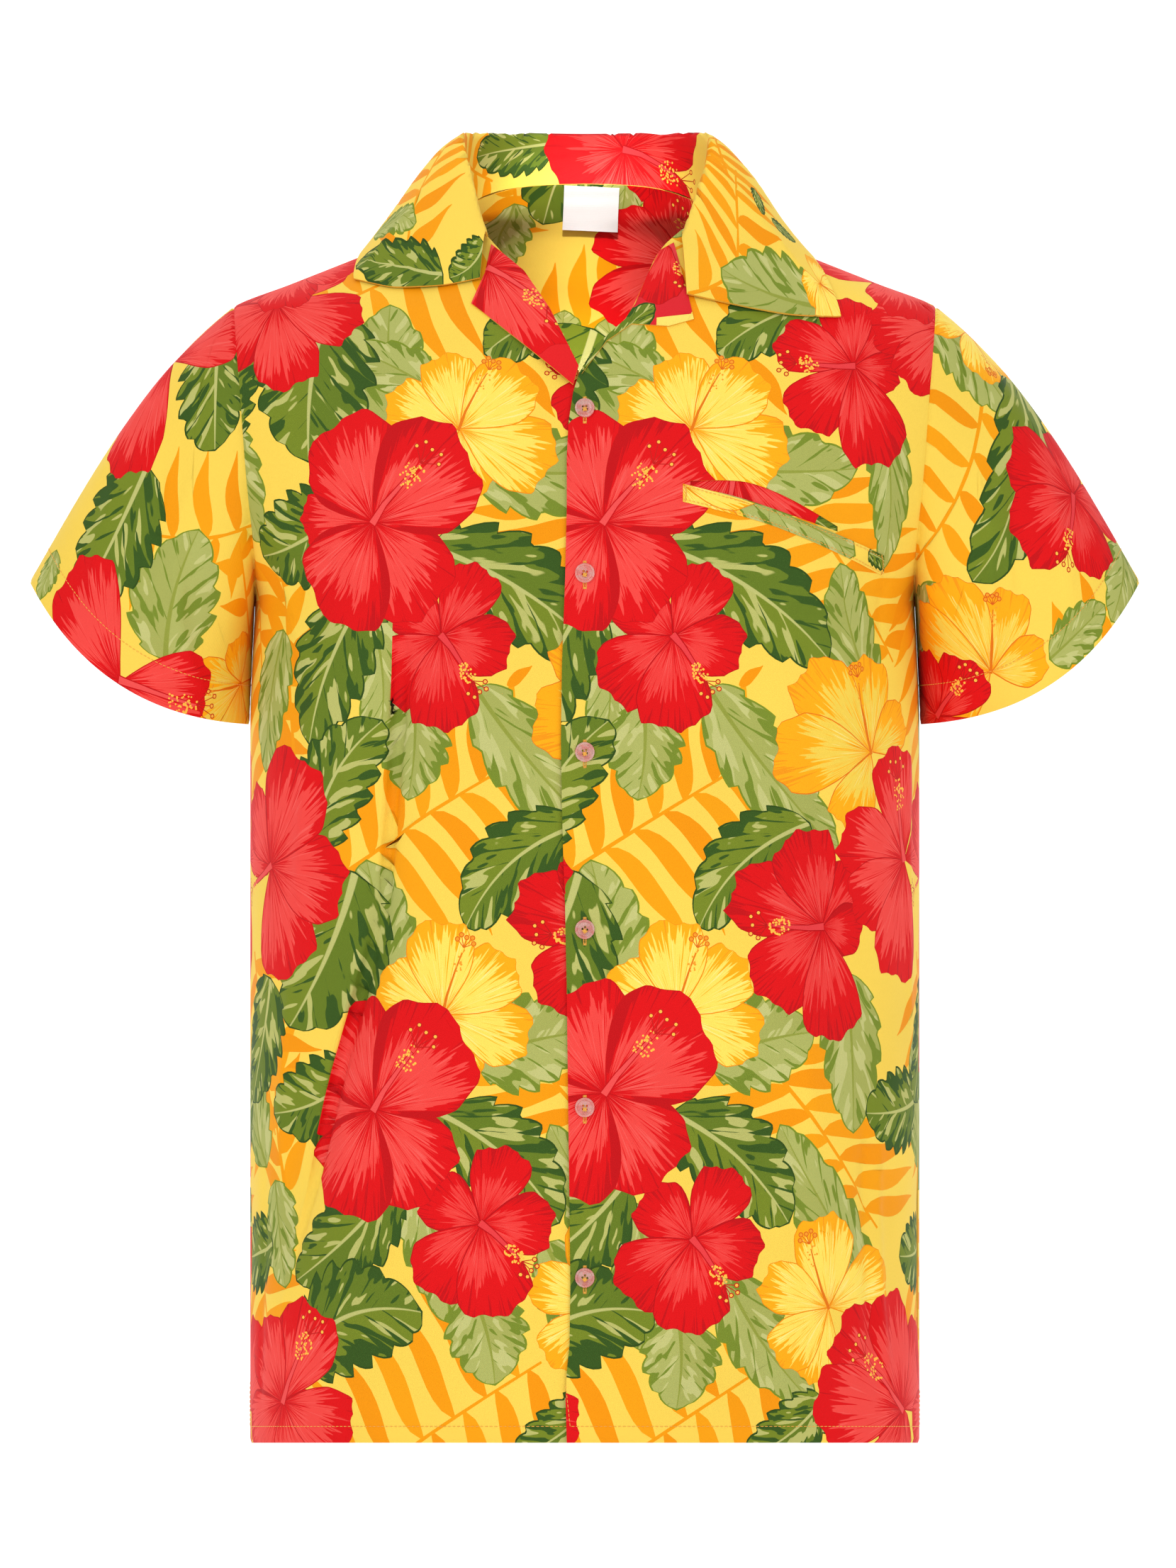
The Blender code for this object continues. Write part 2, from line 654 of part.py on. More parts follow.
def grid_triangles(rows, across):
    """Two triangles for each cell of a grid whose points are numbered row by row."""
    triangles = []
    for row in range(rows - 1):
        for column in range(across - 1):
            a = row * across + column
            b, c, d = a + 1, a + 1 + across, a + across
            triangles += [(a, b, c), (a, c, d)]
    return triangles


def armhole_normals(cloth, body):
    """The body's own normals round the armhole, so that the sleeve's wall meets it squarely."""
    found = []
    for point in cloth.points[-1]:
        side = -1 if point[1] < 0 else 1
        flat = body[side].flat(point[0], point[2])
        found.append(body[side].at(flat)[1][0])
    return np.array(found)


def edge_point(x, level, side, lift):
    """A point of the collar's edge, laid on the front or the back, or just behind the shoulder seam between them."""
    return np.array([x, side * (body_depth(side, x, level) + lift) if side else COLLAR_EDGE_Y, level])


def collar_path(row):
    """One station of the collar, up the stand, over the roll and down the fall."""
    seam = np.array([row["seam_x"], row["seam_y"], row["seam_level"]])
    roll = np.array([row["roll_x"], row["roll_y"], row["roll_level"]])
    edge = edge_point(row["edge_x"], row["edge_level"], row["edge_side"], row["edge_lift"])
    up = np.array([0, 0, 1.0])
    out = unit(np.array([edge[0] - seam[0], edge[1] - seam[1], 0]))
    start = roll + out * FALL_OUT - up * FALL_DOWN
    reach = np.linalg.norm(edge - start)
    first = start + out * reach * FALL_START_OUT - up * reach * FALL_START_DOWN
    second = edge - unit(edge - start) * reach * FALL_END
    fall = [
        start * (1 - t) ** 3 + 3 * first * t * (1 - t) ** 2 + 3 * second * t**2 * (1 - t) + edge * t**3
        for t in FALL_SHARES
    ]
    stand = [seam + (roll - seam) * share for share in STAND_SHARES]
    return np.array([*stand, roll + out * ROLL_OUT + up * ROLL_UP, *fall])


def collar_stations():
    """The collar's stations with more read between them: lines stay smooth, but break at the two collar points."""
    rows = [collar_path(dict(zip(COLLAR, values))) for values in zip(*COLLAR.values())]
    runs = ((0, COLLAR_POINTS[0]), COLLAR_POINTS, (COLLAR_POINTS[1], len(rows) - 1))
    stations = []
    for first, last in runs:
        knots = np.arange(first, last + 1)
        lines = np.array(rows[first : last + 1]).reshape(len(knots), -1)
        table = {"station": knots.astype(float), **{str(k): lines[:, k] for k in range(lines.shape[1])}}
        for at in np.linspace(first, last, (last - first) * COLLAR_STEPS + 1)[bool(stations) :]:
            stations.append(np.array([smooth(table, str(k), at) for k in range(lines.shape[1])]).reshape(-1, 3))
    return np.array(stations)


def make_collar(finish):
    points = collar_stations().transpose(1, 0, 2)
    fall = slice(len(STAND_SHARES) + 1, None)
    points[fall] = clear_of_body(points[fall], COLLAR_CLEARANCE + COLLAR_CLOTH / 2)
    normals = unit(np.cross(np.gradient(points, axis=1), np.gradient(points, axis=0)))
    triangles = grid_triangles(*points.shape[:2])
    middle, normals = points.reshape(-1, 3), normals.reshape(-1, 3)
    half = COLLAR_CLOTH / 2
    return add_wall("collar", middle + normals * half, middle - normals * half, triangles, finish)


def make_label(cloth, finish):
    width, height = LABEL_SIZE
    tilt = math.radians(LABEL_TILT)
    corners = np.array([(-1, -1), (0, -1), (1, -1), (1, 0), (1, 1), (0, 1), (-1, 1), (-1, 0)]) * (width / 2, height / 2)
    turn = np.array([[math.cos(tilt), -math.sin(tilt)], [math.sin(tilt), math.cos(tilt)]])
    outline = corners @ turn + LABEL_CENTRE
    flat = anticlockwise(cloth.flat(outline[:, 0], outline[:, 1]))
    return cut(
        "neck_label", cloth, flat, finish, spacing=FINE_FACET, lift=-LABEL_DEPTH, thickness=LABEL_THICKNESS
    )


def make_button(name, cloth, level, finish):
    """A turned four-hole button with a dished face and a raised rim, lying on the upper front."""
    point, normal = cloth.at(cloth.flat(BUTTON_X, level))
    profile = (
        (0.0, 0.0),
        (BUTTON_RADIUS - BUTTON_CHAMFER, 0.0),
        (BUTTON_RADIUS, BUTTON_CHAMFER),
        (BUTTON_RADIUS, BUTTON_HEIGHT - BUTTON_EDGE),
        (BUTTON_RADIUS - BUTTON_EDGE, BUTTON_HEIGHT),
        (BUTTON_RADIUS - BUTTON_RIM, BUTTON_HEIGHT),
        (BUTTON_RADIUS - BUTTON_RIM - BUTTON_EDGE, BUTTON_HEIGHT - BUTTON_DISH),
        (0.0, BUTTON_HEIGHT - BUTTON_DISH),
    )
    sides = BUTTON_SIDES
    points = [(0.0, 0.0, profile[0][1])]
    for radius, height in profile[1:-1]:
        for side in range(sides):
            turn = 2 * math.pi * side / sides
            points.append((radius * math.cos(turn), radius * math.sin(turn), height))
    points.append((0.0, 0.0, profile[-1][1]))
    ring = lambda number, side: 1 + number * sides + side % sides
    faces = [(0, ring(0, side + 1), ring(0, side)) for side in range(sides)]
    for number in range(len(profile) - 3):
        faces += [
            (ring(number, s), ring(number, s + 1), ring(number + 1, s + 1), ring(number + 1, s)) for s in range(sides)
        ]
    last = len(profile) - 3
    faces += [(len(points) - 1, ring(last, side), ring(last, side + 1)) for side in range(sides)]
    button = add_object(name, points, faces, finish)
    face_up = Vector((0, 0, 1)).rotation_difference(Vector(normal[0]))
    button.rotation_mode = "QUATERNION"
    button.rotation_quaternion = face_up
    button.location = (point[0] + normal[0] * BUTTON_SEAT) * MM
    for number in range(4):
        turn = math.pi / 4 + number * math.pi / 2
        bpy.ops.mesh.primitive_cylinder_add(
            vertices=DRILL_SIDES, radius=BUTTON_HOLE_RADIUS * MM, depth=3 * BUTTON_HEIGHT * MM
        )
        drill = bpy.context.object
        drill.name = f"{name}_drill_{number + 1}"
        spread = BUTTON_HOLE_SPREAD * MM
        drill.parent = button
        drill.location = (spread * math.cos(turn), spread * math.sin(turn), 0)
        drill.hide_render = True
        drill.display_type = "WIRE"
        hole = button.modifiers.new(f"hole_{number + 1}", "BOOLEAN")
        hole.operation = "DIFFERENCE"
        hole.object = drill
    return button


def clear_scene():
    for obj in list(bpy.data.objects):
        bpy.data.objects.remove(obj)


def main():
    clear_scene()
    print_cloth = material("printed_cloth", (0.95, 0.62, 0.12))
    right_cloth = material("printed_cloth_right", (0.9, 0.5, 0.1))
    sleeve_cloth = material("printed_cloth_sleeve", (0.85, 0.15, 0.1))
    collar_cloth = material("printed_cloth_collar", (0.35, 0.5, 0.12))
    facing_cloth = material("printed_cloth_facing", (0.8, 0.05, 0.06))
    label_cloth = material("label_cloth", (0.93, 0.93, 0.92), 0.5)
    button_resin = material("button_resin", (0.9, 0.72, 0.66), 0.2, 0.5)

    front = BodyCloth(-1, FRONT_FOLDS)
    back = BodyCloth(1, BACK_FOLDS)
    body = {-1: front, 1: back}
    make_back(back, print_cloth)
    make_front_left(front, print_cloth)
    make_front_right(front, right_cloth)
    make_sleeve("sleeve_left", 1, body, sleeve_cloth)
    make_sleeve("sleeve_right", -1, body, sleeve_cloth)
    make_collar(collar_cloth)
    for name, table in (("facing_right", LAPEL_RIGHT), ("facing_left", LAPEL_LEFT)):
        outline = dense(anticlockwise(front.flat(table["x"], table["level"])), FINE_FACET)
        cut(name, front, outline, facing_cloth, spacing=FINE_FACET, lift=LAPEL_LIFT, thickness=LAPEL_THICKNESS)
    welt = dense(anticlockwise(front.flat(*band(POCKET_WELT).T)), FINE_FACET)
    cut("pocket_welt", front, welt, collar_cloth, spacing=FINE_FACET, lift=WELT_LIFT)
    mouth = pulled_in(anticlockwise(front.flat(*band(POCKET_MOUTH).T)), -POCKET_FACING_REACH)
    cut("pocket_facing", front, mouth, facing_cloth, spacing=FINE_FACET, lift=-POCKET_FACING_DEPTH)
    make_label(back, label_cloth)
    for number, level in enumerate(BUTTON_LEVELS):
        make_button(f"button_{number + 1}", front, level, button_resin)


main()
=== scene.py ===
"""Looks of a short-sleeved camp-collar shirt: printed cloth, folds, rolled lapels, sewing, label and buttons.

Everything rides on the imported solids' one body. Sizes, tables and sheets are in millimetres, in the frame of
the solids: +Z is up, the wearer faces -Y and their left is +X. A mesh gets metres as it is made.
"""

import math

import bpy
import numpy as np
from mathutils import Matrix, Vector
from mathutils.geometry import delaunay_2d_cdt


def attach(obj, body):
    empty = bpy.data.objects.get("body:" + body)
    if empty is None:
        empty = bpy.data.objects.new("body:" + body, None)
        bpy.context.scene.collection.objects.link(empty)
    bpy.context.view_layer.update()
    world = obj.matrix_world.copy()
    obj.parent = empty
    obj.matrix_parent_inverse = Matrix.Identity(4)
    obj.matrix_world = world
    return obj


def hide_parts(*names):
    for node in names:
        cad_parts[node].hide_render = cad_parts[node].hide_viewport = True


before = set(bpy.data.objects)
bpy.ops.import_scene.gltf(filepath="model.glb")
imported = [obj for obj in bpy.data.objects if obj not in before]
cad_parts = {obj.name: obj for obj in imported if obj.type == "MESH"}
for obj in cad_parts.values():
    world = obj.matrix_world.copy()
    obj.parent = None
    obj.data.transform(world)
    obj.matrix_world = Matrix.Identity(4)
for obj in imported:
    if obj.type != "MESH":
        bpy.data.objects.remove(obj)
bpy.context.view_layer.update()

CARRIER = "root"
MM = 0.001
SEED = 7

# Cloth, as thin as it looks at its edges, inside the solids' walls
CLOTH = 0.8
COLLAR_CLOTH = 1.4
SEAM_GAP = 0.3
SEAM_TUCK = 2.4
COLLAR_TUCK = 1.8
EDGE_ROLL = 0.9
EDGE_ROLL_WIDTH = 3.2

# Form of the shirt, as the solids have it
HEM = -768.0
ARMPIT = -228.0
SHOULDER_TIP = (226.0, -38.0)
NECK_POINT = (76.5, 21.4)
BACK_NECK = 42.0
SQUARENESS = ((-300.0, 2.4), (-38.0, 2.2))
VERTICAL_DATUM = -300.0
UNDERLAP = 14.0
UNDERLAP_DROP = 3.0
UNDERLAP_BLEND = 45.0
CUFF_OUTER = (357.0, -215.0)
CUFF_INNER = (215.2, -306.0)
CUFF_HALF_DEPTH = 56.0
CUFF_BOW_FRONT = 24.0
CUFF_BOW_BACK = 12.0
LEAVES_OVER, LEAVES_UNDER = (0.79, 0.0, -0.61), (0.045, 0.0, -1.0)
ARRIVES_OVER, ARRIVES_UNDER = (0.5, 0.0, -0.87), (0.04, 0.0, -1.0)
COLLAR_CLEARANCE = 1.2
COLLAR_EDGE_Y = 6.0
COLLAR_POINTS = (3, 13)
STAND_SHARES = (0.0, 0.45, 0.85)
ROLL_OUT, ROLL_UP = 0.6, 0.2
FALL_OUT, FALL_DOWN = 2.2, 0.4
FALL_SHARES = (0.0, 0.18, 0.42, 0.7, 1.0)
FALL_START_OUT, FALL_START_DOWN, FALL_END = 0.24, 0.12, 0.3

# How finely the sheets are made
GRID = 2.0
WEB = 5.5
BACK_WEB = 9.0
ARMHOLE_STEPS = 44
SLEEVE_ROWS = 61
COLLAR_STEPS = 9
COLLAR_LINES = 44

# Buttons, 20 ligne, and their holes
BUTTON_RADIUS = 6.3
BUTTON_HEIGHT = 2.4
# Insets that turn its face and its back: how far in, and how deep
BUTTON_FRONT = ((1.2, 0), (0.55, -0.75), (1.6, -0.12))
BUTTON_BACK = ((0.9, 0.25),)
BUTTON_ROUNDING = 0.28
BUTTON_HOLE_RADIUS = 0.75
BUTTON_HOLE_SPREAD = 1.5
# A strand over the button: how far along between the holes, and how high
CROSS_PROFILE = ((-1.0, 0.6), (-0.8, 1.75), (-0.35, 1.95), (0.35, 1.95), (0.8, 1.75), (1.0, 0.6))
CROSS_OFFSET, CROSS_THREAD = 0.34, 0.32
BUTTON_X = 0.0
BUTTON_SEAT = 0.35
BUTTON_LEVELS = (-104.0, -210.0, -325.0, -439.0, -553.5, -663.0)
BUTTON_TURNS = (0.1, -0.25, 0.2, 0.6, -0.1, 0.7)
BUTTONHOLE = 15.5
BUTTONHOLE_STITCH = ((0.15, 0), (0.6, 0), (1.02, 0.1), (1.275, 0.15))

# Neck label, lapels, pocket and sewing
LABEL_SIZE = (36.0, 28.0)
LABEL_CENTRE = (4.0, 26.5)
LABEL_TILT = 2.5
# How far a piece stands off its sheet, its thickness, the depth and width of its rolled edge, and its web
LABEL_BUILD = (-CLOTH - 1.2, 0.45, (0.12, 1.0), 3.0)
COLLAR_BUILD = (COLLAR_CLOTH / 2, COLLAR_CLOTH, (0.55, 2.6), 4.6)
LAPEL_BUILD = (2.6, 1.2, (1.5, 4.0), 4.5)
WELT_BUILD = (1.5, 1.0, (0.9, 2.4), 3.6)
POCKET_FACING_BUILD = (-1.8, 0.8, (0.1, 1.0), 4.5)
WELT_ENDS = (64.5, 190.0)
POCKET_FACING_REACH = 7.0
HEM_STITCH = 10.5
CUFF_STITCH = 25.0
COLLAR_STITCH = 5.0
FOLDED = ("collar", "facing_left", "facing_right")

# Room, floor and camera
FLOOR = -900.0
SWEEP_FRONT, SWEEP_BACK, SWEEP_HALF, SWEEP_TOP, SWEEP_BEND = -4000.0, 1500.0, 6000.0, 4200.0, 900.0
CAMERA_PLACE = (2.05, -3000.0, -344.4)
VIEW_HEIGHT = 1007.8
BODY_CENTRE = (0.0, 0.0, -0.35)
# Lights, in metres: width and height, power, spread in degrees, place, and the place they point at
LIGHTS = (
    ("key_light", (2.4, 2.4), 40.0, 180, (-1.6, -2.9, 1.7), BODY_CENTRE),
    ("fill_light", (2.6, 2.6), 20.0, 180, (2.2, -2.6, 0.7), BODY_CENTRE),
    ("top_light", (2.4, 2.0), 14.0, 180, (0.0, 0.2, 2.4), BODY_CENTRE),
    ("neck_light", (0.03, 0.03), 0.085, 9, (0.0, -0.7, 0.62), (0.0, 0.06, -0.005)),
)
WORLD_LIGHT = 0.62

# Threads of the weave, the blades' widths on the smaller pieces, and how the repeat lies on each piece
WEAVE_PER_UNIT = 90.0
SMALL_BLADE = 6.0
COLLAR_BLADE = 8.5
SLEEVE_BLADE = 12.0
RIGHT_SHIFT = (-150.0, 0.0)
BACK_MIRROR, BACK_SHIFT = ((-1, 0), (0, 1)), (-10.0, 354.0)
SLEEVE_TURN, SLEEVE_SHIFT = 30, (120.0, 330.0)
SLEEVE_MIDDLE = (270.0, -175.0)

# What lies on the lapels, the pocket's welt and its facing, in x and level on the front
FACING_LEFT = (
    ("ground", "d8222c", ((-8, -90), (60, -60), (80, -20), (70, 10), (40, 10), (-8, -70))),
    ("dark", -8, -84, 44, -38, 26, 0.1), ("red", "small", 54, 4, -20, 0.9),
    ("ground", "f6dc68", ((46, -46), (70, -43), (72, -52), (46, -54))),
)
FACING_RIGHT = (
    ("ground", "e01c20", ((-90, 20), (0, 20), (10, -95), (-20, -95), (-90, -40))),
    ("coral", "wide", -62, -14, -90, 1.0),
)
WELT_PRINT = (
    ("ground", "f9c83c", ((58, -140), (118, -150), (118, -188), (58, -176))),
    ("yellow", "gold", 60, -150, -40, 0.9), ("sage", 100, -158, 172, -197, 44, 0.1),
    ("dark", 181, -195, 197, -205, 13, 0.1),
)
POCKET_PRINT = (
    ("ground", "e01c20", ((60, -135), (152, -145), (152, -190), (60, -175))),
    ("coral", "wide", 96, -140, -150, 1.0), ("frond", 150, -180, 200, -206, 3, 22, 80, -10, 22, 84, 10),
    ("dark", 144, -172, 163, -186, 20, 0.1), ("dark", 178, -190, 196, -200, 10, 0.1),
)

# What is seen of the sleeves' print from the front
LEFT_SLEEVE_PRINT = (
    ("ground", "f5d052", ((226, -40), (300, -60), (357, -215), (216, -306))),
    ("frond", 256, -98, 214, -200, 5, 40, 80, -10, 62, 84, 10),
    ("frond", 300, -262, 350, -214, 3, 30, 80, -10, 40, 84, 10), ("sage", 224, -50, 274, -106, 60, 0.1),
    ("sage", 206, -268, 224, -216, 36, 0.1), ("sage", 298, -264, 333, -232, 32, 0.1),
    ("sage", 350, -190, 338, -240, 40, 0.1), ("dark", 278, -86, 252, -214, 58, 0.1),
    ("yellow", "leaning", 254, -48, 180, 0.8), ("red", "small", 314, -160, -60, 1.1),
    ("orange", "tall", 260, -272, -20, 0.9), ("red", "half", 228, -300, 0, 0.72),
)
RIGHT_SLEEVE_PRINT = (
    ("ground", "f5d052", ((-226, -40), (-300, -60), (-357, -215), (-216, -306))),
    ("frond", -214, -179, -292, -180, 4, 50, 80, -10, 56, 84, -10),
    ("frond", -214, -262, -222, -190, 3, 30, 50, -10, 40, 60, 10),
    ("sage", -270, -264, -250, -180, 66, 0.1), ("sage", -340, -196, -350, -224, 26, 0.1),
    ("dark", -234, -54, -240, -128, 66, 0.1), ("dark", -280, -142, -324, -230, 72, 0.1),
    ("coral", "edge", -268, -70, -27, 1.05), ("orange", "tall", -221, -280, 60, 0.8),
    ("coral", "cuff", -298, -278, 0, 1.0),
)


def columns(names, *rows):
    """A table as named columns, so that each row of numbers is one section."""
    return dict(zip(names.split(), np.array(rows, float).T))


BODY = columns(
    "level half_width front_depth back_depth",
    (-780, 215, 147, 150), (-620, 215, 147, 147), (-450, 215, 148, 142), (-306, 215, 150, 145),
    (-250, 213, 150, 150), (ARMPIT, 212, 149.5, 151.5), (-190, 228, 147, 153), (-160, 241, 143, 152),
    (-130, 250, 137, 149), (-100, 253, 128, 143), (-70, 248, 114, 133), (-52, 240, 103, 125),
    (SHOULDER_TIP[1], SHOULDER_TIP[0], 94, 117), (-23, 188.4, 82, 107), (-8, 150.5, 70, 97),
    (7, 112.8, 58, 87), (NECK_POINT[1], NECK_POINT[0], 47, 76), (32, 76, 42, 68), (46, 76, 36, 60),
)

ARMHOLE = columns(
    "level x",
    (ARMPIT, 212), (-198, 213.5), (-147, 218.5), (-92, 222.5), (-60, 225),
    (SHOULDER_TIP[1], SHOULDER_TIP[0]),
)

# Edge of the upper front, from the hem up to the foot of the neck opening.
OVERLAP_EDGE = columns(
    "level x",
    (HEM, -11.8), (-732, -12.8), (-696, -9.1), (-581, -10.5), (-438, -12.3), (-378, -14.6),
    (-296, -15.9), (-182, -11.8), (-119, -11.8), (-92, -7.7),
)

# Neck openings of the two fronts, from the foot of the opening to the shoulder seam.
OPENING_LEFT = columns(
    "x level",
    (-4, -80), (6, -63), (25, -47), (31, -37), (39, -19), (47, -1), (61, 12), (69.5, 17),
)
OPENING_RIGHT = columns(
    "x level",
    (14, -104), (4, -92), (-4, -77), (-13, -59), (-22, -41), (-39, -16), (-55, 0), (-63, 9), (-70, 16),
)
BACK_NECKLINE = columns("x level", (71.0, 31.0), (52.0, 38.5), (28.0, 41.5), (0.0, BACK_NECK))

# Largest folds: each runs from its start to its end as a soft trough, or a ridge where the depth is negative.
FRONT_FOLDS = columns(
    "start_x start_level end_x end_level depth half_width",
    (-122, -262, -139, -440, 7, 16), (-139, -440, -196, -640, 8, 17), (-86, -300, -112, -560, -4, 34),
    (150, -330, 186, -600, 4, 26), (196, -590, 200, -700, 5, 16), (60, -430, 84, -690, -3, 40),
)
BACK_FOLDS = columns(
    "start_x start_level end_x end_level depth half_width",
    (-150, -250, -120, -520, 6, 26), (144, -270, 128, -600, 6.5, 28), (-20, -330, 14, -690, 4, 36),
    (70, -120, 176, -230, 4, 24), (-76, -130, -170, -220, 4, 24),
)

# Lapels and pocket, as outlines in x and level on the front.
LAPEL_RIGHT = columns(
    "x level",
    (-7.5, -88), (-4, -76), (-22, -40), (-39, -15), (-60, 2), (-64, -16), (-73, -36),
)
LAPEL_LEFT = columns(
    "x level",
    (-2, -81), (7, -63), (26, -46), (32.5, -36), (40, -18), (48, -2), (57, 3), (64, -22), (70, -46),
    (54, -50.5), (30, -49), (14, -60),
)
POCKET_MOUTH = columns(
    "x lower_level upper_level",
    (68, -152.6, -149.4), (90, -157.5, -148.8), (106, -162, -150), (127, -169.3, -158),
    (147, -176.5, -169), (163, -182.2, -179),
)
POCKET_WELT = columns(
    "x lower_level upper_level",
    (63, -163, -151.5), (84, -168, -156.6), (111, -175, -164.5), (132, -182.5, -172), (163, -196, -184),
    (192, -211, -197.5),
)

# Collar stations from the wearer's right front round the back to the left front. Seam and roll are points,
# and the edge is laid on the body at its x and level.
COLLAR = columns(
    "seam_x seam_y seam_level roll_x roll_y roll_level edge_x edge_level edge_side edge_lift",
    (-62.5, -53.5, 8.5, -63.5, -57.5, 11, -67, -19, -1, 4.2),
    (-66, -45.5, 13.5, -67.5, -48, 24, -95, -24, -1, 3.6),
    (-70.5, -32, 18, -71.5, -33, 42, -122, -25, -1, 3.2),
    (-75, -15, 21.5, -75.5, -15, 60, -149, -20, -1, 3), (-77, 3, 25, -78, 5, 72, -141, -1.5, 0, 3.2),
    (-71, 28, 32, -73, 30, 74, -118, -4, 1, 3), (-52, 48, 39.3, -54, 52, 73.6, -82, 5, 1, 3),
    (-28, 59, 42.3, -29, 63, 73.2, -42, 11, 1, 3), (0, 62.5, 42.8, 0, 66.5, 73, 0, 13, 1, 3),
    (28, 59, 42.3, 29, 63, 73.2, 42, 11, 1, 3), (52, 48, 39.3, 54, 52, 73.6, 84, 5, 1, 3),
    (71, 28, 32, 74, 30, 74, 118, -4, 1, 3), (77, 3, 25, 80, 5, 71, 137, 0, 0, 3.2),
    (75, -15, 21.5, 77, -16, 52, 165, -44, -1, 3), (70.5, -32, 18, 69.5, -35, 30, 138, -43, -1, 3.2),
    (66, -42, 14, 64.5, -47, 14, 111, -39, -1, 3.6), (62.5, -50.5, 9.5, 62.5, -57, 5, 65, -29, -1, 5),
)


# The print. Places are in the repeat's own plane, and angles are in degrees.
REPEAT = np.array([380.0, 780.0])
REPEAT_LOW, REPEAT_HIGH = np.array([-140.0, -880.0]), np.array([400.0, 90.0])
INK, PETAL_RED, PETAL_YELLOW, LEAF_DARK, LEAF_SAGE = range(5)
PLAIN_AXES = (np.zeros(2), np.zeros(2), np.zeros(2), 0.0, 0.0)
PETAL_RIM = 1.4
LEAF_RIM = 1.3
PETAL_ROUND = 3.2
BLADE_WIDTH = 13.0
OUTLINE_SLACK = 0.15
FROND_LAYER, SAGE_LAYER, DARK_LAYER, FLOWER_LAYER = 0, 100, 200, 300


def tint(code):
    """A colour's red, green and blue as light, from its hex code."""
    parts = [int(code[n : n + 2], 16) / 255 for n in (0, 2, 4)]
    return tuple(part / 12.92 if part <= 0.04045 else ((part + 0.055) / 1.055) ** 2.4 for part in parts)


def tints(codes):
    return tuple(tint(code) for code in codes.split())


GROUND = tint("f5d052")
EDGE_INK = tint("e0a83a")
FROND_INKS = tints("f39a04 f19402 f49f08")
FLOWER_LOOKS = {
    "red": tints("ea3c38 b8060e e43c40 fbbc48 b81410"),
    "coral": tints("ee4640 c2080e ec4e4c fbbc48 c01a16"),
    "yellow": tints("fbdc5c ee8c0c e27612 f19a28 dc6a12"),
    "orange": tints("f0cc4c e4740e e27612 f19a28 d85e12"),
}
LEAF_LOOKS = {
    "dark": (DARK_LAYER, LEAF_DARK, *tints("748422 2f4a14"), 6, 0.27, 0.48),
    "sage": (SAGE_LAYER, LEAF_SAGE, *tints("acb060 788a24"), 5, 0.24, 0.6),
}
# Petals of each flower as it is drawn upright in the repeat: direction, length and half spread, lowest first.
# The first row is its pillar: direction, length of the pillar, and spread of its stamens.
BLOOMS = {
    "wide": (
        (50, 46, 7), (178, 52, 34),
        (116, 68, 54, -0.22), (-52, 67, 52, -0.12), (-124, 70, 54, 0.14), (36, 78, 54, 0.12),
    ),
    "small": ((-55, 33, 5), (139, 42, 48), (59, 51, 38), (-14, 46, 46), (-142, 56, 44), (-90, 60, 42)),
    "gold": ((65, 42, 4), (155, 50, 38), (-80, 44, 36), (102, 52, 36), (-22, 64, 42), (42, 58, 42)),
    "golden": ((73, 42, 4), (148, 50, 40), (-70, 46, 38), (-18, 57, 38), (38, 56, 38), (92, 60, 38)),
    "side": (
        (177, 36, 6), (42, 44, 44), (97, 53, 36), (157, 55, 36), (-10, 33, 46), (228, 55, 40), (-74, 69, 36),
    ),
    "lower_side": (
        (179, 38, 6), (46, 50, 44), (158, 69, 36), (108, 63, 40), (-8, 32, 58), (225, 63, 42), (-82, 73, 34),
    ),
    "edge": ((100, 48, 7), (100, 73, 36), (165, 64, 38), (20, 66, 42), (212, 61, 38), (-98, 77, 36)),
    "tall": ((104, 46, 4), (94, 61, 36), (33, 44, 42), (135, 76, 32), (248, 51, 36), (180, 75, 36)),
    "leaning": ((109, 40, 4), (95, 59, 40), (22, 61, 38), (157, 49, 36), (258, 49, 32), (222, 49, 36)),
    "low": ((140, 50, 7), (138, 85, 34), (40, 71, 44), (100, 77, 34), (-110, 71, 42), (178, 83, 34)),
    "half": ((60, 46, 7), (62, 68, 44), (126, 60, 46), (-150, 66, 50), (-78, 66, 38), (-18, 62, 38)),
    "fan": ((200, 40, 6), (130, 60, 40), (-72, 74, 44), (-10, 70, 42), (60, 78, 46)),
    "cuff": ((-10, 50, 7), (-70, 56, 42), (210, 60, 42), (140, 78, 42), (2, 62, 38)),
}
FLOWERS = (
    ("yellow", "gold", 69, -115, 0), ("yellow", "golden", 59, -493, 0),
    ("orange", "tall", 199, -324, 0), ("yellow", "leaning", 162, -681, 0),
    ("red", "small", 57, -249, 0), ("red", "small", 69, -637, 0), ("red", "side", 176, -72, 0),
    ("coral", "edge", 252, -36, 20), ("red", "lower_side", 160, -436, 0),
    ("coral", "edge", 237, -393, 0), ("coral", "wide", 12, -176, 0), ("coral", "wide", 13, -543, 0),
    ("coral", "low", 235, -747, 0), ("coral", "half", -56, -22, 0), ("coral", "fan", -80, -397, 0),
    ("coral", "half", -64, -742, 0),
)
DEEPER = ("red", "orange")
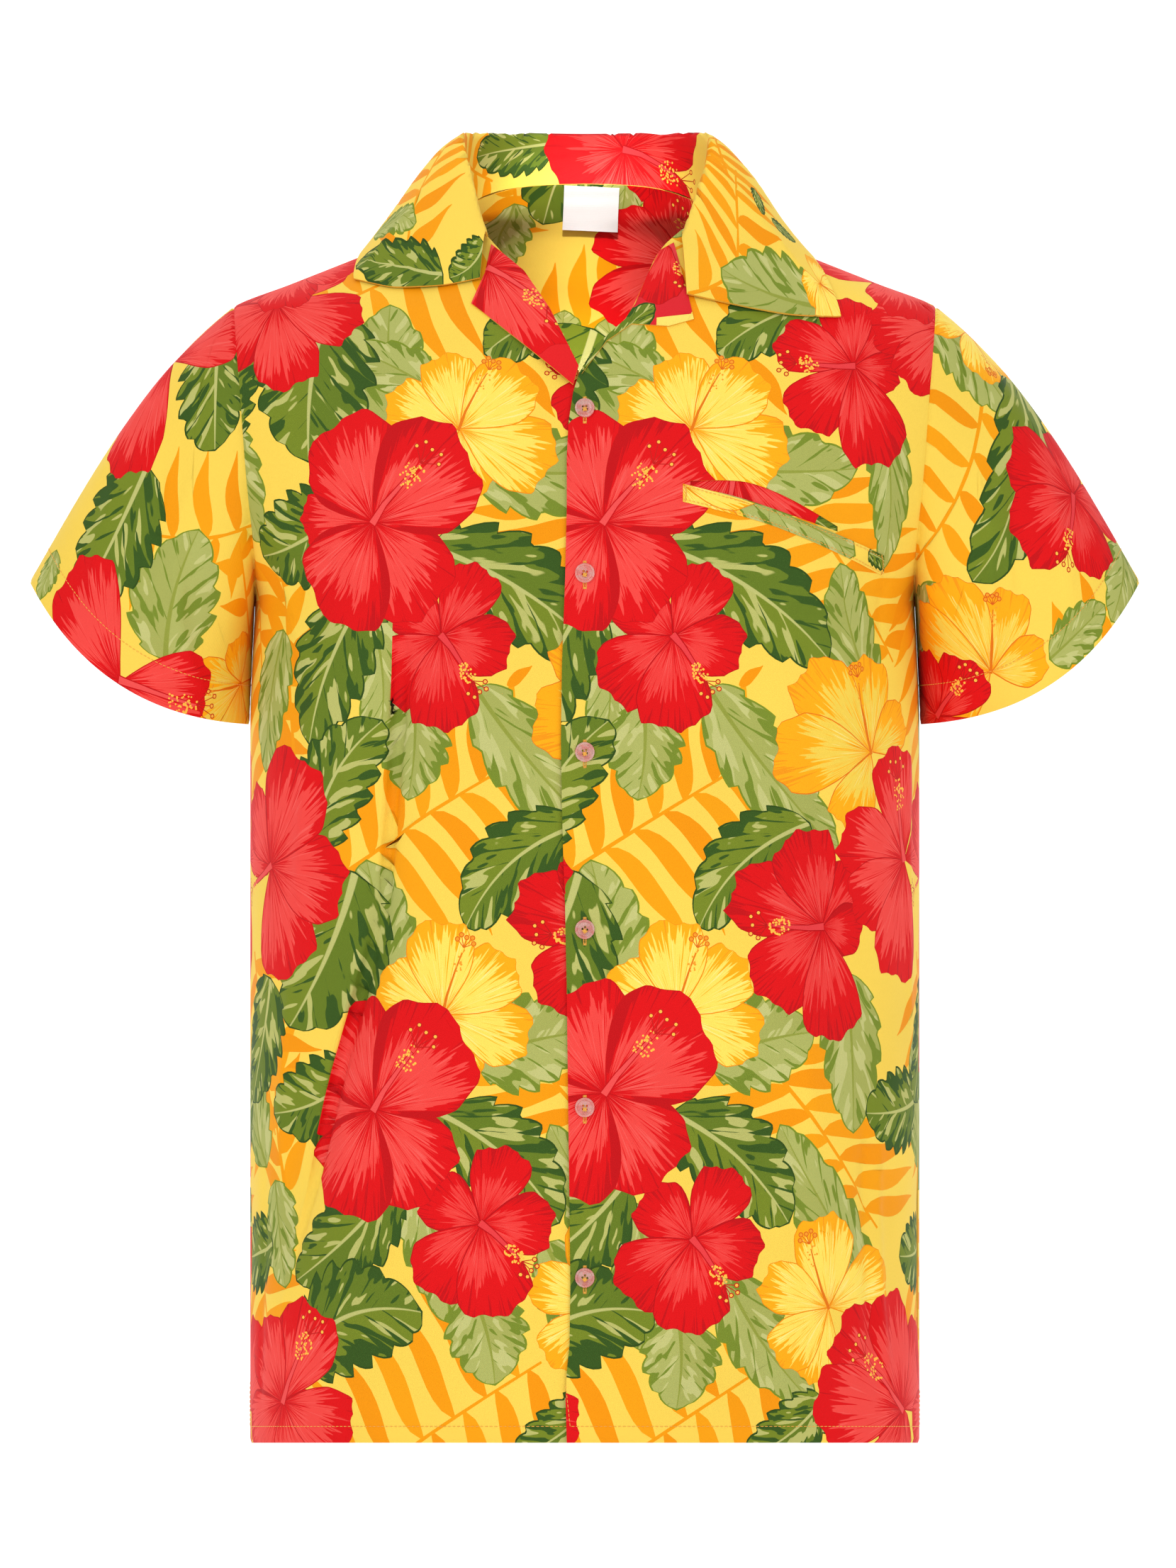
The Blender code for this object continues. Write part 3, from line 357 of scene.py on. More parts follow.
# What the back, and then the right front, have in place of the same rows of the tables above and below
BACK_FLOWERS = {14: ("coral", "half", 52, -350, 20)}
BACK_LEAVES = {
    9: ("sage", -23, -429, -23, -388, 34, 0.1),
    15: ("sage", -58, -298, -66, -358, 44, -0.2),
    25: ("dark", 32, -310, 12, -352, 34, 0.1),
}
RIGHT_FLOWERS = {
    2: ("orange", "tall", 192, -302, 0),
    5: ("red", "small", 83, -627, 12),
    8: ("red", "lower_side", 170, -442, 0),
    11: ("coral", "wide", 12, -554, 4),
}
RIGHT_LEAVES = {
    6: ("sage", 125, -640, 182, -722, 48, -0.2),
    10: ("sage", 78, -672, 92, -730, 54, 0.1),
    8: ("sage", 34, -596, 62, -690, 48, 0.3),
}

# Of each kind: base, tip, width, and how far the midrib bows to the left, in half widths
LEAVES = {
    "sage": (
        (28, -124, 24, -26, 58, 0.1), (66, -100, -6, -58, 40, -0.2), (75, -140, 179, -141, 60, -0.1),
        (16, -484, 4, -394, 58, -0.1), (80, -522, 151, -504, 64, 0.1), (80, -283, 172, -388, 52, -0.2),
        (90, -660, 150, -742, 48, -0.2), (8, -232, 12, -320, 42, 0.3), (30, -614, 36, -708, 50, 0.3),
        (38, -294, 34, -354, 50, 0.1), (60, -686, 59, -746, 52, 0.1), (202, -290, 171, -203, 46, 0.2),
        (179, -466, 185, -568, 54, 0.1), (197, -100, 208, -206, 34, 0.2),
        (207, -680, 128, -564, 48, 0.2), (-66, -246, -88, -336, 44, -0.2),
        (-78, -600, -62, -668, 40, -0.2), (262, -100, 300, -186, 52, 0.2),
        (288, -590, 262, -500, 50, 0.2),
    ),
    "dark": (
        (-12, -168, -80, -196, 66, 0.2), (6, -220, -37, -318, 62, -0.2),
        (50, -192, 163, -264, 68, 0.25), (-18, -30, -32, -136, 88, -0.1),
        (150, -370, 74, -436, 54, -0.45), (166, -22, 86, -62, 56, -0.3), (-36, -384, 15, -304, 58, 0.3),
        (-4, -402, -56, -500, 88, 0.15), (-6, -532, -74, -556, 58, 0.2), (26, -600, -50, -664, 60, 0.2),
        (56, -556, 133, -626, 62, 0.25), (-44, -712, 44, -684, 74, 0.35),
        (262, -548, 198, -556, 56, 0.1), (158, -740, 106, -778, 40, 0.2),
        (300, -470, 262, -548, 60, 0.2), (296, -640, 240, -648, 52, 0.1),
        (276, -120, 300, -40, 60, 0.2),
    ),
}

# base and tip of the midrib, pairs of blades, then the length, the lean from the midrib and the turn away
# from it of the blades on its left and of those on its right
FRONDS = (
    (-36, -418, 116, -324, 8, 66, 54, 10, 80, 62, 60), (-22, -32, 122, 64, 7, 88, 92, -12, 84, 96, 16),
    (112, -516, 208, -630, 7, 72, 64, -18, 66, 128, -14),
    (128, -152, 224, -266, 7, 72, 64, -18, 66, 128, -14),
    (262, -196, 296, -330, 6, 58, 56, 30, 58, 56, 30),
    (-66, -620, -74, -500, 5, 46, 50, -20, 44, 40, -20),
    (-52, -330, -64, -204, 4, 44, 50, -20, 40, 40, -20),
    (268, -452, 306, -570, 5, 58, 54, 30, 58, 56, 30),
    (266, -640, 312, -720, 4, 56, 52, 30, 56, 52, 30),
)
FROND_TIPS = (
    (126, -249, 161, -264, 5), (100, -281, 118, -271, 7), (104, -64, 124, -110, 14), (0, -60, 6, -150, 13),
)

CREASE = "start_u start_v end_u end_v bow rise left right"
# Small creases, in flat places: start, end, how far the middle bows, height, and widths on its left and right
FRONT_CREASES = columns(
    CREASE,
    (-124, -232, -139, -452, 2, 2.2, 5, 3), (-145, -440, -214, -672, 4, 2.6, 5, 3),
    (-118, -262, -134, -446, 2, -3.2, 3, 6), (-138, -446, -206, -660, 4, -3.4, 3, 6),
    (-82, -470, -104, -740, 5, 1.6, 12, 16), (-44, -520, -52, -770, -4, -1.6, 10, 14),
    (-168, -230, -200, -420, 6, 1.8, 12, 9), (-182, -120, -96, -176, 6, 1.4, 9, 12),
    (-206, -150, -148, -232, 5, -1.8, 9, 9), (-214, -196, -186, -282, 5, 2, 8, 10),
    (-176, -60, -120, -96, -3, 1, 9, 10), (-30, -118, -66, -200, 5, 1, 8, 8),
    (-24, -214, -84, -262, 5, 0.9, 8, 8), (-20, -330, -66, -378, 4, -0.9, 8, 8),
    (-26, -442, -70, -486, 4, 0.9, 9, 8), (24, -108, 60, -140, -4, 0.9, 7, 8),
    (18, -214, 64, -246, -4, -0.8, 8, 8), (20, -330, 70, -352, -4, 0.9, 8, 8),
    (22, -556, 66, -600, 4, 0.9, 9, 8), (44, -470, 58, -742, 5, 1.5, 13, 15),
    (104, -500, 112, -760, -5, -1.8, 14, 13), (146, -440, 166, -700, 5, 1.6, 14, 12),
    (196, -560, 206, -740, 3, -2.8, 5, 9), (212, -570, 218, -740, 3, 2.4, 7, 8),
    (186, -128, 112, -120, 5, 1.2, 9, 10), (206, -156, 150, -246, -5, 1.8, 10, 9),
    (216, -204, 190, -300, -4, -2, 8, 9), (150, -262, 170, -410, 5, -1.4, 12, 12),
    (92, -250, 84, -400, 4, 1, 14, 12), (-206, -470, -222, -640, 3, 1.8, 8, 10),
    (-240, -560, -246, -740, 3, -2, 9, 9), (246, -300, 252, -520, 3, 1.8, 9, 10),
)
BACK_CREASES = columns(
    CREASE,
    (-196, -120, -96, -190, 8, 1.8, 9, 12), (-214, -176, -126, -262, 8, -2, 9, 10),
    (-222, -230, -170, -340, 6, 2.2, 9, 11), (204, -110, 110, -170, -8, 1.6, 10, 11),
    (216, -160, 140, -270, -8, -2.2, 9, 10), (224, -226, 182, -344, -5, 2, 9, 10),
    (-60, -40, -92, -220, 8, 1.2, 14, 16), (52, -50, 88, -240, -8, -1.3, 14, 16),
    (-118, -330, -132, -660, 6, 1.8, 12, 18), (-58, -380, -70, -740, -6, -2, 15, 17),
    (6, -300, -8, -600, 8, 1.6, 16, 18), (62, -420, 74, -750, 6, 1.9, 14, 17),
    (120, -360, 138, -700, -6, -2.1, 14, 15), (176, -420, 190, -740, 5, 2, 12, 14),
    (-184, -430, -200, -730, 5, -2, 12, 14), (-242, -420, -246, -700, 3, 1.8, 9, 10),
    (240, -380, 248, -690, 3, -1.8, 9, 10),
)
SLEEVE_CREASES = columns(
    CREASE,
    (-150, 60, -96, 150, 5, 3.4, 8, 12), (-128, 46, -70, 128, -5, -3, 8, 9),
    (-96, 30, -52, 110, 5, 2, 9, 11), (-178, 20, -120, 92, 4, -2.4, 8, 9),
    (-30, 90, -12, 190, 4, -1.2, 12, 12), (26, 84, 14, 186, -4, 1.4, 11, 13),
    (150, 50, 98, 148, -5, 3, 10, 9), (122, 40, 76, 126, 5, -2.6, 9, 8),
    (184, 16, 130, 84, -4, 2.4, 9, 8), (88, 24, 50, 96, -4, 1.8, 10, 9),
)
COLLAR_CREASES = columns(
    CREASE,
    (-150, 60, -120, 110, 3, 0.5, 9, 12), (140, 60, 120, 120, -3, 0.5, 9, 12),
)

# The flowers that the deep fold cuts off, by their layers
HIDDEN_AT_FOLD = (FLOWER_LAYER + 4, FLOWER_LAYER + 11)
DEEP_FOLD = (
    (-126, -236), (-128.5, -278), (-131.5, -357), (-137, -398), (-143.5, -438), (-160, -489),
    (-181, -546), (-197, -597), (-213, -650),
)

# On the collar, places are those seen from the front: part of the collar, then base, tip and sizes as above
COLLAR_FRONDS = (
    ("fall", -116, -14, -76, 72, 6, 50, 62, 14, 54, 62, 14),
    ("fall", 66, -34, 98, 50, 7, 48, 62, 14, 48, 62, 14),
    ("fall", 78, 40, 94, 86, 4, 34, 62, 14, 34, 62, 14),
    ("stand", -86, 60, -60, 44, 4, 30, 60, 10, 30, 60, 10),
    ("back", -96, 14, -34, 62, 6, 34, 64, 20, 34, 64, 20),
    ("back", 100, 6, 56, 60, 6, 34, 64, 20, 34, 64, 20),
)
COLLAR_LEAVES = (
    ("fall", "sage", -134, 8, -108, 16, 20, 0.1), ("fall", "dark", -92, -16, -146, -12, 26, 0.2),
    ("fall", "dark", -58, 2, -86, -20, 18, 0.2), ("fall", "sage", 152, -38, 88, -14, 44, 0.1),
    ("fall", "dark", 110, 36, 114, 22, 11, 0.1), ("fall", "dark", 120, 15, 134, 5, 12, 0.1),
    ("stand", "dark", -18, 70, -70, 58, 36, 0.1), ("back", "dark", -22, 52, -64, 24, 34, 0.1),
    ("back", "sage", 30, 50, 70, 20, 34, 0.1), ("back", "dark", 74, 64, 98, 30, 26, 0.1),
)
COLLAR_FLOWERS = (
    ("fall", "yellow", "gold", 150, -22, 40, 0.55), ("stand", "red", "small", 26, 62, 40, 1.5),
    ("back", "yellow", "gold", -78, 46, 40, 0.6), ("back", "coral", "small", 86, 14, 60, 0.7),
)


def smooth(table, name, at):
    """Monotone cubic through a table's rows, read in a named column at the first column's values."""
    knots, values = next(iter(table.values())), table[name]
    gaps = np.diff(knots)
    rises = np.diff(values) / gaps
    slopes = np.zeros_like(values)
    same_way = rises[:-1] * rises[1:] > 0
    means = 2 * rises[:-1] * rises[1:] / np.where(same_way, rises[:-1] + rises[1:], 1)
    slopes[1:-1] = np.where(same_way, means, 0)
    at = np.clip(at, knots[0], knots[-1])
    cell = np.clip(np.searchsorted(knots, at, "right") - 1, 0, len(gaps) - 1)
    t = (at - knots[cell]) / gaps[cell]
    start, end = values[cell], values[cell + 1]
    lean = gaps[cell] * (slopes[cell] * t * (1 - t) ** 2 - slopes[cell + 1] * t**2 * (1 - t))
    return start + (end - start) * (3 * t**2 - 2 * t**3) + lean


def squareness(level):
    (low, square), (high, round_) = SQUARENESS
    return np.interp(level, (low, high), (square, round_))


def body_depth(side, x, level):
    """Distance from the side seams' plane to the front (side -1) or the back (side 1), at x on a level."""
    power = squareness(level)
    full = smooth(BODY, "front_depth" if side < 0 else "back_depth", level)
    reach = np.clip(np.abs(x) / smooth(BODY, "half_width", level), 0, 1) ** power
    return full * (1 - reach) ** (1 / power)


def clear_of_body(points, clearance):
    """Points moved straight out of the body's form where they are nearer to it than a clearance."""
    nudge = 0.05

    def form(at):
        power = squareness(at[..., 2])
        wide = np.abs(at[..., 0]) / smooth(BODY, "half_width", at[..., 2])
        front, back = (smooth(BODY, name, at[..., 2]) for name in ("front_depth", "back_depth"))
        deep = np.abs(at[..., 1]) / np.where(at[..., 1] < 0, front, back)
        return (wide**power + deep**power) ** (1 / power) - 1

    for _ in range(6):
        slope = np.stack(
            [(form(points + step) - form(points - step)) / (2 * nudge) for step in nudge * np.eye(3)], axis=-1
        )
        steepness = np.linalg.norm(slope, axis=-1, keepdims=True)
        short = clearance - form(points)[..., None] / steepness
        points = points + np.maximum(short, 0) * slope / steepness
    return points


def fold_drop(folds, x, level):
    """How far the folds push the cloth in, at x on a level."""
    drop = np.zeros(np.broadcast(x, level).shape)
    for row in zip(*folds.values()):
        start_x, start_level, end_x, end_level, depth, half_width = row
        along_x, along_level = end_x - start_x, end_level - start_level
        length = math.hypot(along_x, along_level)
        share = ((x - start_x) * along_x + (level - start_level) * along_level) / length**2
        across = ((x - start_x) * along_level - (level - start_level) * along_x) / length
        fade = np.clip(np.minimum(share + 0.25, 1.25 - share) / 0.5, 0, 1)
        drop = drop + depth * np.exp(-((across / half_width) ** 2)) * fade**2 * (3 - 2 * fade)
    return drop


def ease(share):
    share = np.clip(share, 0, 1)
    return share**2 * (3 - 2 * share)


def crease_height(creases, u, v):
    """Height of the small creases on a flat sheet. Each is steeper on one side than on the other."""
    height = np.zeros(np.broadcast(u, v).shape)
    for row in zip(*creases.values()):
        start_u, start_v, end_u, end_v, bow, rise, left, right = row
        along = np.array([end_u - start_u, end_v - start_v])
        length = np.hypot(*along)
        along = along / length
        share = ((u - start_u) * along[0] + (v - start_v) * along[1]) / length
        across = (u - start_u) * along[1] - (v - start_v) * along[0] - bow * 4 * share * (1 - share)
        width = np.where(across < 0, left, right) * (0.7 + 0.3 * np.sin(math.pi * np.clip(share, 0, 1)))
        fade = ease(share / 0.35 + 0.3) * ease((1 - share) / 0.35 + 0.3)
        height = height + rise * fade / (1 + (across / width) ** 2) ** 2
    return height


def unit(vectors):
    return vectors / np.maximum(np.linalg.norm(vectors, axis=-1, keepdims=True), 1e-9)


def run_length(line):
    """How far along a line of points each of them lies."""
    return np.concatenate([[0], np.cumsum(np.linalg.norm(np.diff(line, axis=0), axis=1))])


def column_heights(points):
    """The length up each column of a grid of points."""
    rises = np.linalg.norm(np.diff(points, axis=0), axis=-1)
    return np.concatenate([np.zeros((1, rises.shape[1])), np.cumsum(rises, axis=0)])


def places_across(points):
    """Where each column of a ring lies along its middle row, from the middle of it."""
    girth = run_length(points[len(points) // 2])
    return girth - girth[-1] / 2


def facing_out(points, centre):
    """Normals of a grid of points, turned away from a centre where there is one."""
    normals = unit(np.cross(np.gradient(points, axis=1), np.gradient(points, axis=0)))
    if centre is None:
        return normals
    return normals * np.sign(np.sum(normals * (points - centre), axis=-1, keepdims=True) + 1e-9)


def index_of(values, wanted):
    """Where values lie in an even or rising row of numbers, counted from its first."""
    return np.interp(wanted, values, np.arange(len(values)))


def hermite(start, end, leave, arrive, t):
    """Smooth ways between two places, with the directions they leave and arrive by, at a share of them."""
    bend = leave * (t**3 - 2 * t**2 + t) + arrive * (t**3 - t**2)
    return start * (2 * t**3 - 3 * t**2 + 1) + end * (3 * t**2 - 2 * t**3) + bend


def bilinear(grid, row, column):
    row, column = np.atleast_1d(row), np.atleast_1d(column)
    i = np.clip(np.floor(row).astype(int), 0, grid.shape[0] - 2)
    j = np.clip(np.floor(column).astype(int), 0, grid.shape[1] - 2)
    s, t = (row - i)[:, None], (column - j)[:, None]
    low = grid[i, j] * (1 - t) + grid[i, j + 1] * t
    high = grid[i + 1, j] * (1 - t) + grid[i + 1, j + 1] * t
    value = low * (1 - s) + high * s
    return value[:, 0] if grid.shape[-1] == 1 else value


BODY_MIDDLE = np.array([0, 0, VERTICAL_DATUM])


class Sheet:
    """A sheet of cloth as a grid of points and normals, read at flat places: u across it and v up it."""

    def at(self, uv):
        row, column = self.place(uv)
        return bilinear(self.points, row, column), unit(bilinear(self.normals, row, column))


class BodyCloth(Sheet):
    """The front or the back of the body as a sheet: u is the length round a row from the centre line, on the
    viewer's right as positive, and v is the length up a column. Rows run on past the side seam so that the
    sheet ends smoothly.
    """

    def __init__(self, side, folds, creases):
        self.side = side
        self.near, far = ("front_depth", "back_depth")[:: -side]
        self.levels = np.arange(HEM - 6, BACK_NECK + 6, GRID)
        self.across = np.arange(-372.0, 372.1, GRID)
        reach = np.abs(self.across)
        rows = []
        turns = np.linspace(0, math.pi, 361)
        for level in self.levels:
            depth = np.where(turns < math.pi / 2, smooth(BODY, self.near, level), smooth(BODY, far, level))
            x, y, length = self.row(level, turns, depth)
            row_x = np.interp(reach, length, x) * np.sign(self.across) * -side
            row_y = np.interp(reach, length, y)
            rows.append(np.stack([row_x, row_y, np.full_like(row_x, level)], axis=-1))
        points = np.array(rows)
        normals = facing_out(points, BODY_MIDDLE)
        points = points - normals * fold_drop(folds, points[..., 0], points[..., 2])[..., None]
        heights = column_heights(points)
        datum = np.argmin(np.abs(self.levels - VERTICAL_DATUM))
        self.heights = heights - heights[datum] + VERTICAL_DATUM
        self.ups = np.arange(self.heights.min(axis=1)[0], self.heights.max(), GRID)
        resampled = [
            [np.interp(self.ups, self.heights[:, j], points[:, j, axis]) for axis in range(3)]
            for j in range(len(self.across))
        ]
        smooth_points = np.array(resampled).transpose(2, 0, 1)
        normals = facing_out(smooth_points, BODY_MIDDLE)
        u, v = np.meshgrid(self.across, self.ups)
        self.points = smooth_points + normals * crease_height(creases, u, v)[..., None]
        self.normals = facing_out(self.points, BODY_MIDDLE)

    def row(self, level, turns, depth):
        """x, y and the length from the centre line, at some turns round the body on a level."""
        power = 2 / squareness(level)
        x = smooth(BODY, "half_width", level) * np.sin(turns) ** power
        y = self.side * depth * np.sign(np.cos(turns)) * np.abs(np.cos(turns)) ** power
        return x, y, np.concatenate([[0], np.cumsum(np.hypot(np.diff(x), np.diff(y)))])

    def flat(self, x, level):
        """Where the point at x on a level lies on the sheet."""
        x, level = np.broadcast_arrays(np.asarray(x, float), np.asarray(level, float))
        turns = np.linspace(0, math.pi / 2, 721)
        found = []
        for one_x, one_level in zip(x.ravel(), level.ravel()):
            row_x, _, length = self.row(one_level, turns, smooth(BODY, self.near, one_level))
            u = np.interp(abs(one_x), row_x, length) * np.sign(one_x) * -self.side
            row, column = index_of(self.levels, one_level), index_of(self.across, u)
            found.append((u, bilinear(self.heights[..., None], row, column)[0]))
        return np.array(found)

    def place(self, uv):
        return index_of(self.ups, uv[:, 1]), index_of(self.across, uv[:, 0])


class RingCloth(Sheet):
    """A sheet from a grid of points whose columns may differ in height: u is constant down a column, and v is
    the length up it. The grid's centre line, or the line beside it, is what its normals face away from.
    """

    def __init__(self, points, across, creases, centre=None):
        self.across = across
        self.heights = column_heights(points)
        u = np.broadcast_to(self.across, self.heights.shape)
        rise = crease_height(creases, u, self.heights)[..., None]
        self.points = points + facing_out(points, centre) * rise
        self.normals = facing_out(self.points, centre)

    def place(self, uv):
        column = index_of(self.across, uv[:, 0])
        j = np.clip(np.floor(column).astype(int), 0, len(self.across) - 2)
        t = column - j
        heights = self.heights[:, j] * (1 - t) + self.heights[:, j + 1] * t
        i = np.clip(np.sum(heights <= uv[:, 1], axis=0) - 1, 0, len(heights) - 2)
        ends = heights[i, np.arange(len(uv))], heights[i + 1, np.arange(len(uv))]
        return i + (uv[:, 1] - ends[0]) / np.maximum(ends[1] - ends[0], 1e-6), column

    def height_at(self, u):
        return np.interp(u, self.across, self.heights[-1])

    def find(self, x, level, wanted=None):
        """The sheet place whose point is at x and level, among those wanted or those seen from the front."""
        seen = self.normals[..., 1] < 0 if wanted is None else wanted
        gap = (self.points[..., 0] - x) ** 2 + (self.points[..., 2] - level) ** 2 + np.where(seen, 0, 1e6)
        row, column = np.unravel_index(np.argmin(gap), gap.shape)
        return np.array([self.across[column], self.heights[row, column]])


def steps(start, end, spacing):
    """Even levels from start to end, both included."""
    return np.linspace(start, end, max(2, round(abs(end - start) / spacing) + 1))


def hem_run(start, end):
    """x and level along the hem between two x values, closer together where the hem turns round the side."""
    reach = BODY["half_width"][0]
    turns = [math.asin(abs(x) / reach) * math.copysign(1, x) for x in (start, end)]
    x = reach * np.sin(steps(*turns, 0.03))[1:-1]
    return np.stack([x, np.full_like(x, HEM)], axis=1)


def armhole_levels():
    turns = np.linspace(0, math.pi, ARMHOLE_STEPS + 1)
    middle, half = (ARMPIT + SHOULDER_TIP[1]) / 2, (SHOULDER_TIP[1] - ARMPIT) / 2
    return middle - half * np.cos(turns)


def side_run():
    """x and level up the side seam, round the armhole and along the shoulder seam, on the wearer's left."""
    seam = [(smooth(BODY, "half_width", level), level) for level in steps(HEM, ARMPIT, 6.0)]
    armhole = [(smooth(ARMHOLE, "x", level), level) for level in armhole_levels()[1:]]
    shoulder = steps(SHOULDER_TIP[1], NECK_POINT[1], 2.5)
    return np.array(seam + armhole + [(smooth(BODY, "half_width", level), level) for level in shoulder[1:]])


def left_of(line):
    """The direction to the left of each point of a flat line."""
    direction = unit(np.gradient(line, axis=0))
    return np.stack([-direction[:, 1], direction[:, 0]], axis=1)


def pulled_in(outline, gap):
    """The outline moved inwards by a gap, with its corners mitred. It runs anticlockwise."""
    before, after = np.roll(outline, 1, axis=0), np.roll(outline, -1, axis=0)
    inward = lambda side: unit(np.stack([-side[:, 1], side[:, 0]], axis=1))
    first, second = inward(outline - before), inward(after - outline)
    middle = unit(first + second)
    return outline + middle * (gap / np.maximum(np.sum(middle * first, axis=1), 0.4))[:, None]


def flat_area(outline):
    """The area inside a flat outline, below zero where it runs clockwise."""
    x, y = outline.T
    return np.sum(x * np.roll(y, -1) - y * np.roll(x, -1)) / 2


def anticlockwise(outline):
    return outline if flat_area(outline) > 0 else outline[::-1]


def outline_on(cloth, points, gap=0.6 * SEAM_GAP):
    return pulled_in(anticlockwise(cloth.flat(points[:, 0], points[:, 1])), gap)


def dense_open(line, spacing):
    """An open line with points added so that no step is longer than the spacing."""
    points = []
    for start, end in zip(line, line[1:]):
        count = max(1, math.ceil(np.linalg.norm(end - start) / spacing))
        points += [start + (end - start) * step / count for step in range(count)]
    return np.array([*points, line[-1]])


def dense(outline, spacing):
    """The closed outline with points added so that no side is longer than the spacing."""
    return dense_open(np.vstack([outline, outline[:1]]), spacing)[:-1]


def eased_line(points, rounds=2):
    """An open line of points with its corners cut off, ends kept."""
    for _ in range(rounds):
        first = points[:-1] * 0.75 + points[1:] * 0.25
        second = points[:-1] * 0.25 + points[1:] * 0.75
        points = np.vstack([points[:1], np.stack([first, second], axis=1).reshape(-1, 2), points[-1:]])
    return points


def pairs(table, *names):
    return np.stack([table[name] for name in names], axis=1)


def band(table, lower="lower_level", upper="upper_level"):
    """The outline of a strip given by its lower and upper levels."""
    return np.vstack([eased_line(pairs(table, "x", lower)), eased_line(pairs(table, "x", upper))[::-1]])


def armhole_point(side, level):
    x = smooth(ARMHOLE, "x", level)
    return np.array([x, side * body_depth(side, x, level), level])


def cuff_point(turn):
    outer, inner = np.array(CUFF_OUTER), np.array(CUFF_INNER)
    middle, half = (outer + inner) / 2, (outer - inner) / 2
    along = unit(np.array([half[1], -half[0]]))
    bow = CUFF_BOW_FRONT if turn < 0 else CUFF_BOW_BACK
    x, level = middle + half * math.cos(turn) + along * bow * math.sin(turn) ** 2
    return np.array([x, CUFF_HALF_DEPTH * math.sin(turn), level])


def sleeve_cloth(hand, creases):
    """A sleeve's sheet: rings from the cuff up to the armhole, from the underarm seam round to it again. It
    opens so that u grows to the right of someone who looks at the wearer's front.
    """
    levels = armhole_levels()[::-1]
    front = [armhole_point(-1, level) for level in levels]
    back = [armhole_point(1, level) for level in levels]
    armhole = np.array(front[::-1] + back[1:])
    turns = np.concatenate([np.linspace(-math.pi, 0, len(levels)), np.linspace(0, math.pi, len(levels))[1:]])
    cuff = np.array([cuff_point(turn) for turn in turns])
    low = (1 - np.cos(turns))[:, None] / 2
    leave = unit(np.array(LEAVES_OVER) * (1 - low) + np.array(LEAVES_UNDER) * low)
    arrive = unit(np.array(ARRIVES_OVER) * (1 - low) + np.array(ARRIVES_UNDER) * low)
    chord = np.linalg.norm(cuff - armhole, axis=1)[:, None]
    rows = []
    for t in np.linspace(1, 0, SLEEVE_ROWS):
        rows.append(hermite(armhole, cuff, leave * chord, arrive * chord, t))
    rows.append(armhole - (SEAM_TUCK, 0, 0))
    points = np.array(rows) * (hand, 1, 1)
    across = places_across(points)
    if hand < 0:
        points = points[:, ::-1]
    return RingCloth(points, across, creases, points.mean(axis=1, keepdims=True))


def edge_point(x, level, side, lift):
    """A point of the collar's edge, laid on the front or the back, or just behind the shoulder seam."""
    return np.array([x, side * (body_depth(side, x, level) + lift) if side else COLLAR_EDGE_Y, level])


def collar_path(row):
    """One station of the collar, up the stand, over the roll and down the fall."""
    seam = np.array([row["seam_x"], row["seam_y"], row["seam_level"]])
    roll = np.array([row["roll_x"], row["roll_y"], row["roll_level"]])
    edge = edge_point(row["edge_x"], row["edge_level"], row["edge_side"], row["edge_lift"])
    up = np.array([0, 0, 1.0])
    out = unit(np.array([edge[0] - seam[0], edge[1] - seam[1], 0]))
    start = roll + out * FALL_OUT - up * FALL_DOWN
    reach = np.linalg.norm(edge - start)
    first = start + out * reach * FALL_START_OUT - up * reach * FALL_START_DOWN
    second = edge - unit(edge - start) * reach * FALL_END
    fall = [
        start * (1 - t) ** 3 + 3 * first * t * (1 - t) ** 2 + 3 * second * t**2 * (1 - t) + edge * t**3
        for t in FALL_SHARES
    ]
    stand = [seam + (roll - seam) * share for share in STAND_SHARES]
    return np.array([*stand, roll + out * ROLL_OUT + up * ROLL_UP, *fall])


def collar_stations():
    """The collar's stations with more read between them, in lines that break only at the collar points."""
    rows = [collar_path(dict(zip(COLLAR, values))) for values in zip(*COLLAR.values())]
    runs = ((0, COLLAR_POINTS[0]), COLLAR_POINTS, (COLLAR_POINTS[1], len(rows) - 1))
    stations = []
    for first, last in runs:
        knots = np.arange(first, last + 1)
        lines = np.array(rows[first : last + 1]).reshape(len(knots), -1)
        table = {"station": knots.astype(float), **{str(k): lines[:, k] for k in range(lines.shape[1])}}
        for at in np.linspace(first, last, (last - first) * COLLAR_STEPS + 1)[bool(stations) :]:
            station = [smooth(table, str(k), at) for k in range(lines.shape[1])]
            stations.append(np.array(station).reshape(-1, 3))
    return np.array(stations)


def eased_path(path, count):
    """One station's path read again at even lengths, through a Catmull-Rom curve."""
    ends = np.vstack([2 * path[0] - path[1], path, 2 * path[-1] - path[-2]])
    t = np.linspace(0, 1, 9)[:-1, None]
    fine = []
    for before, start, end, after in zip(ends, ends[1:], ends[2:], ends[3:]):
        fine.append(hermite(start, end, (end - before) / 2, (after - start) / 2, t))
    fine = np.vstack([*fine, path[-1:]])
    length = run_length(fine)
    wanted = np.linspace(0, length[-1], count)
    return np.stack([np.interp(wanted, length, fine[:, axis]) for axis in range(3)], axis=1)


def collar_cloth(creases):
    stations = collar_stations()
    lines = stations.transpose(1, 0, 2)
    fall = slice(len(STAND_SHARES) + 1, None)
    lines[fall] = clear_of_body(lines[fall], COLLAR_CLEARANCE + COLLAR_CLOTH / 2)
    paths = [eased_path(path, COLLAR_LINES) for path in lines.transpose(1, 0, 2)]
    points = np.array(paths).transpose(1, 0, 2)
    return RingCloth(points, places_across(points), creases)


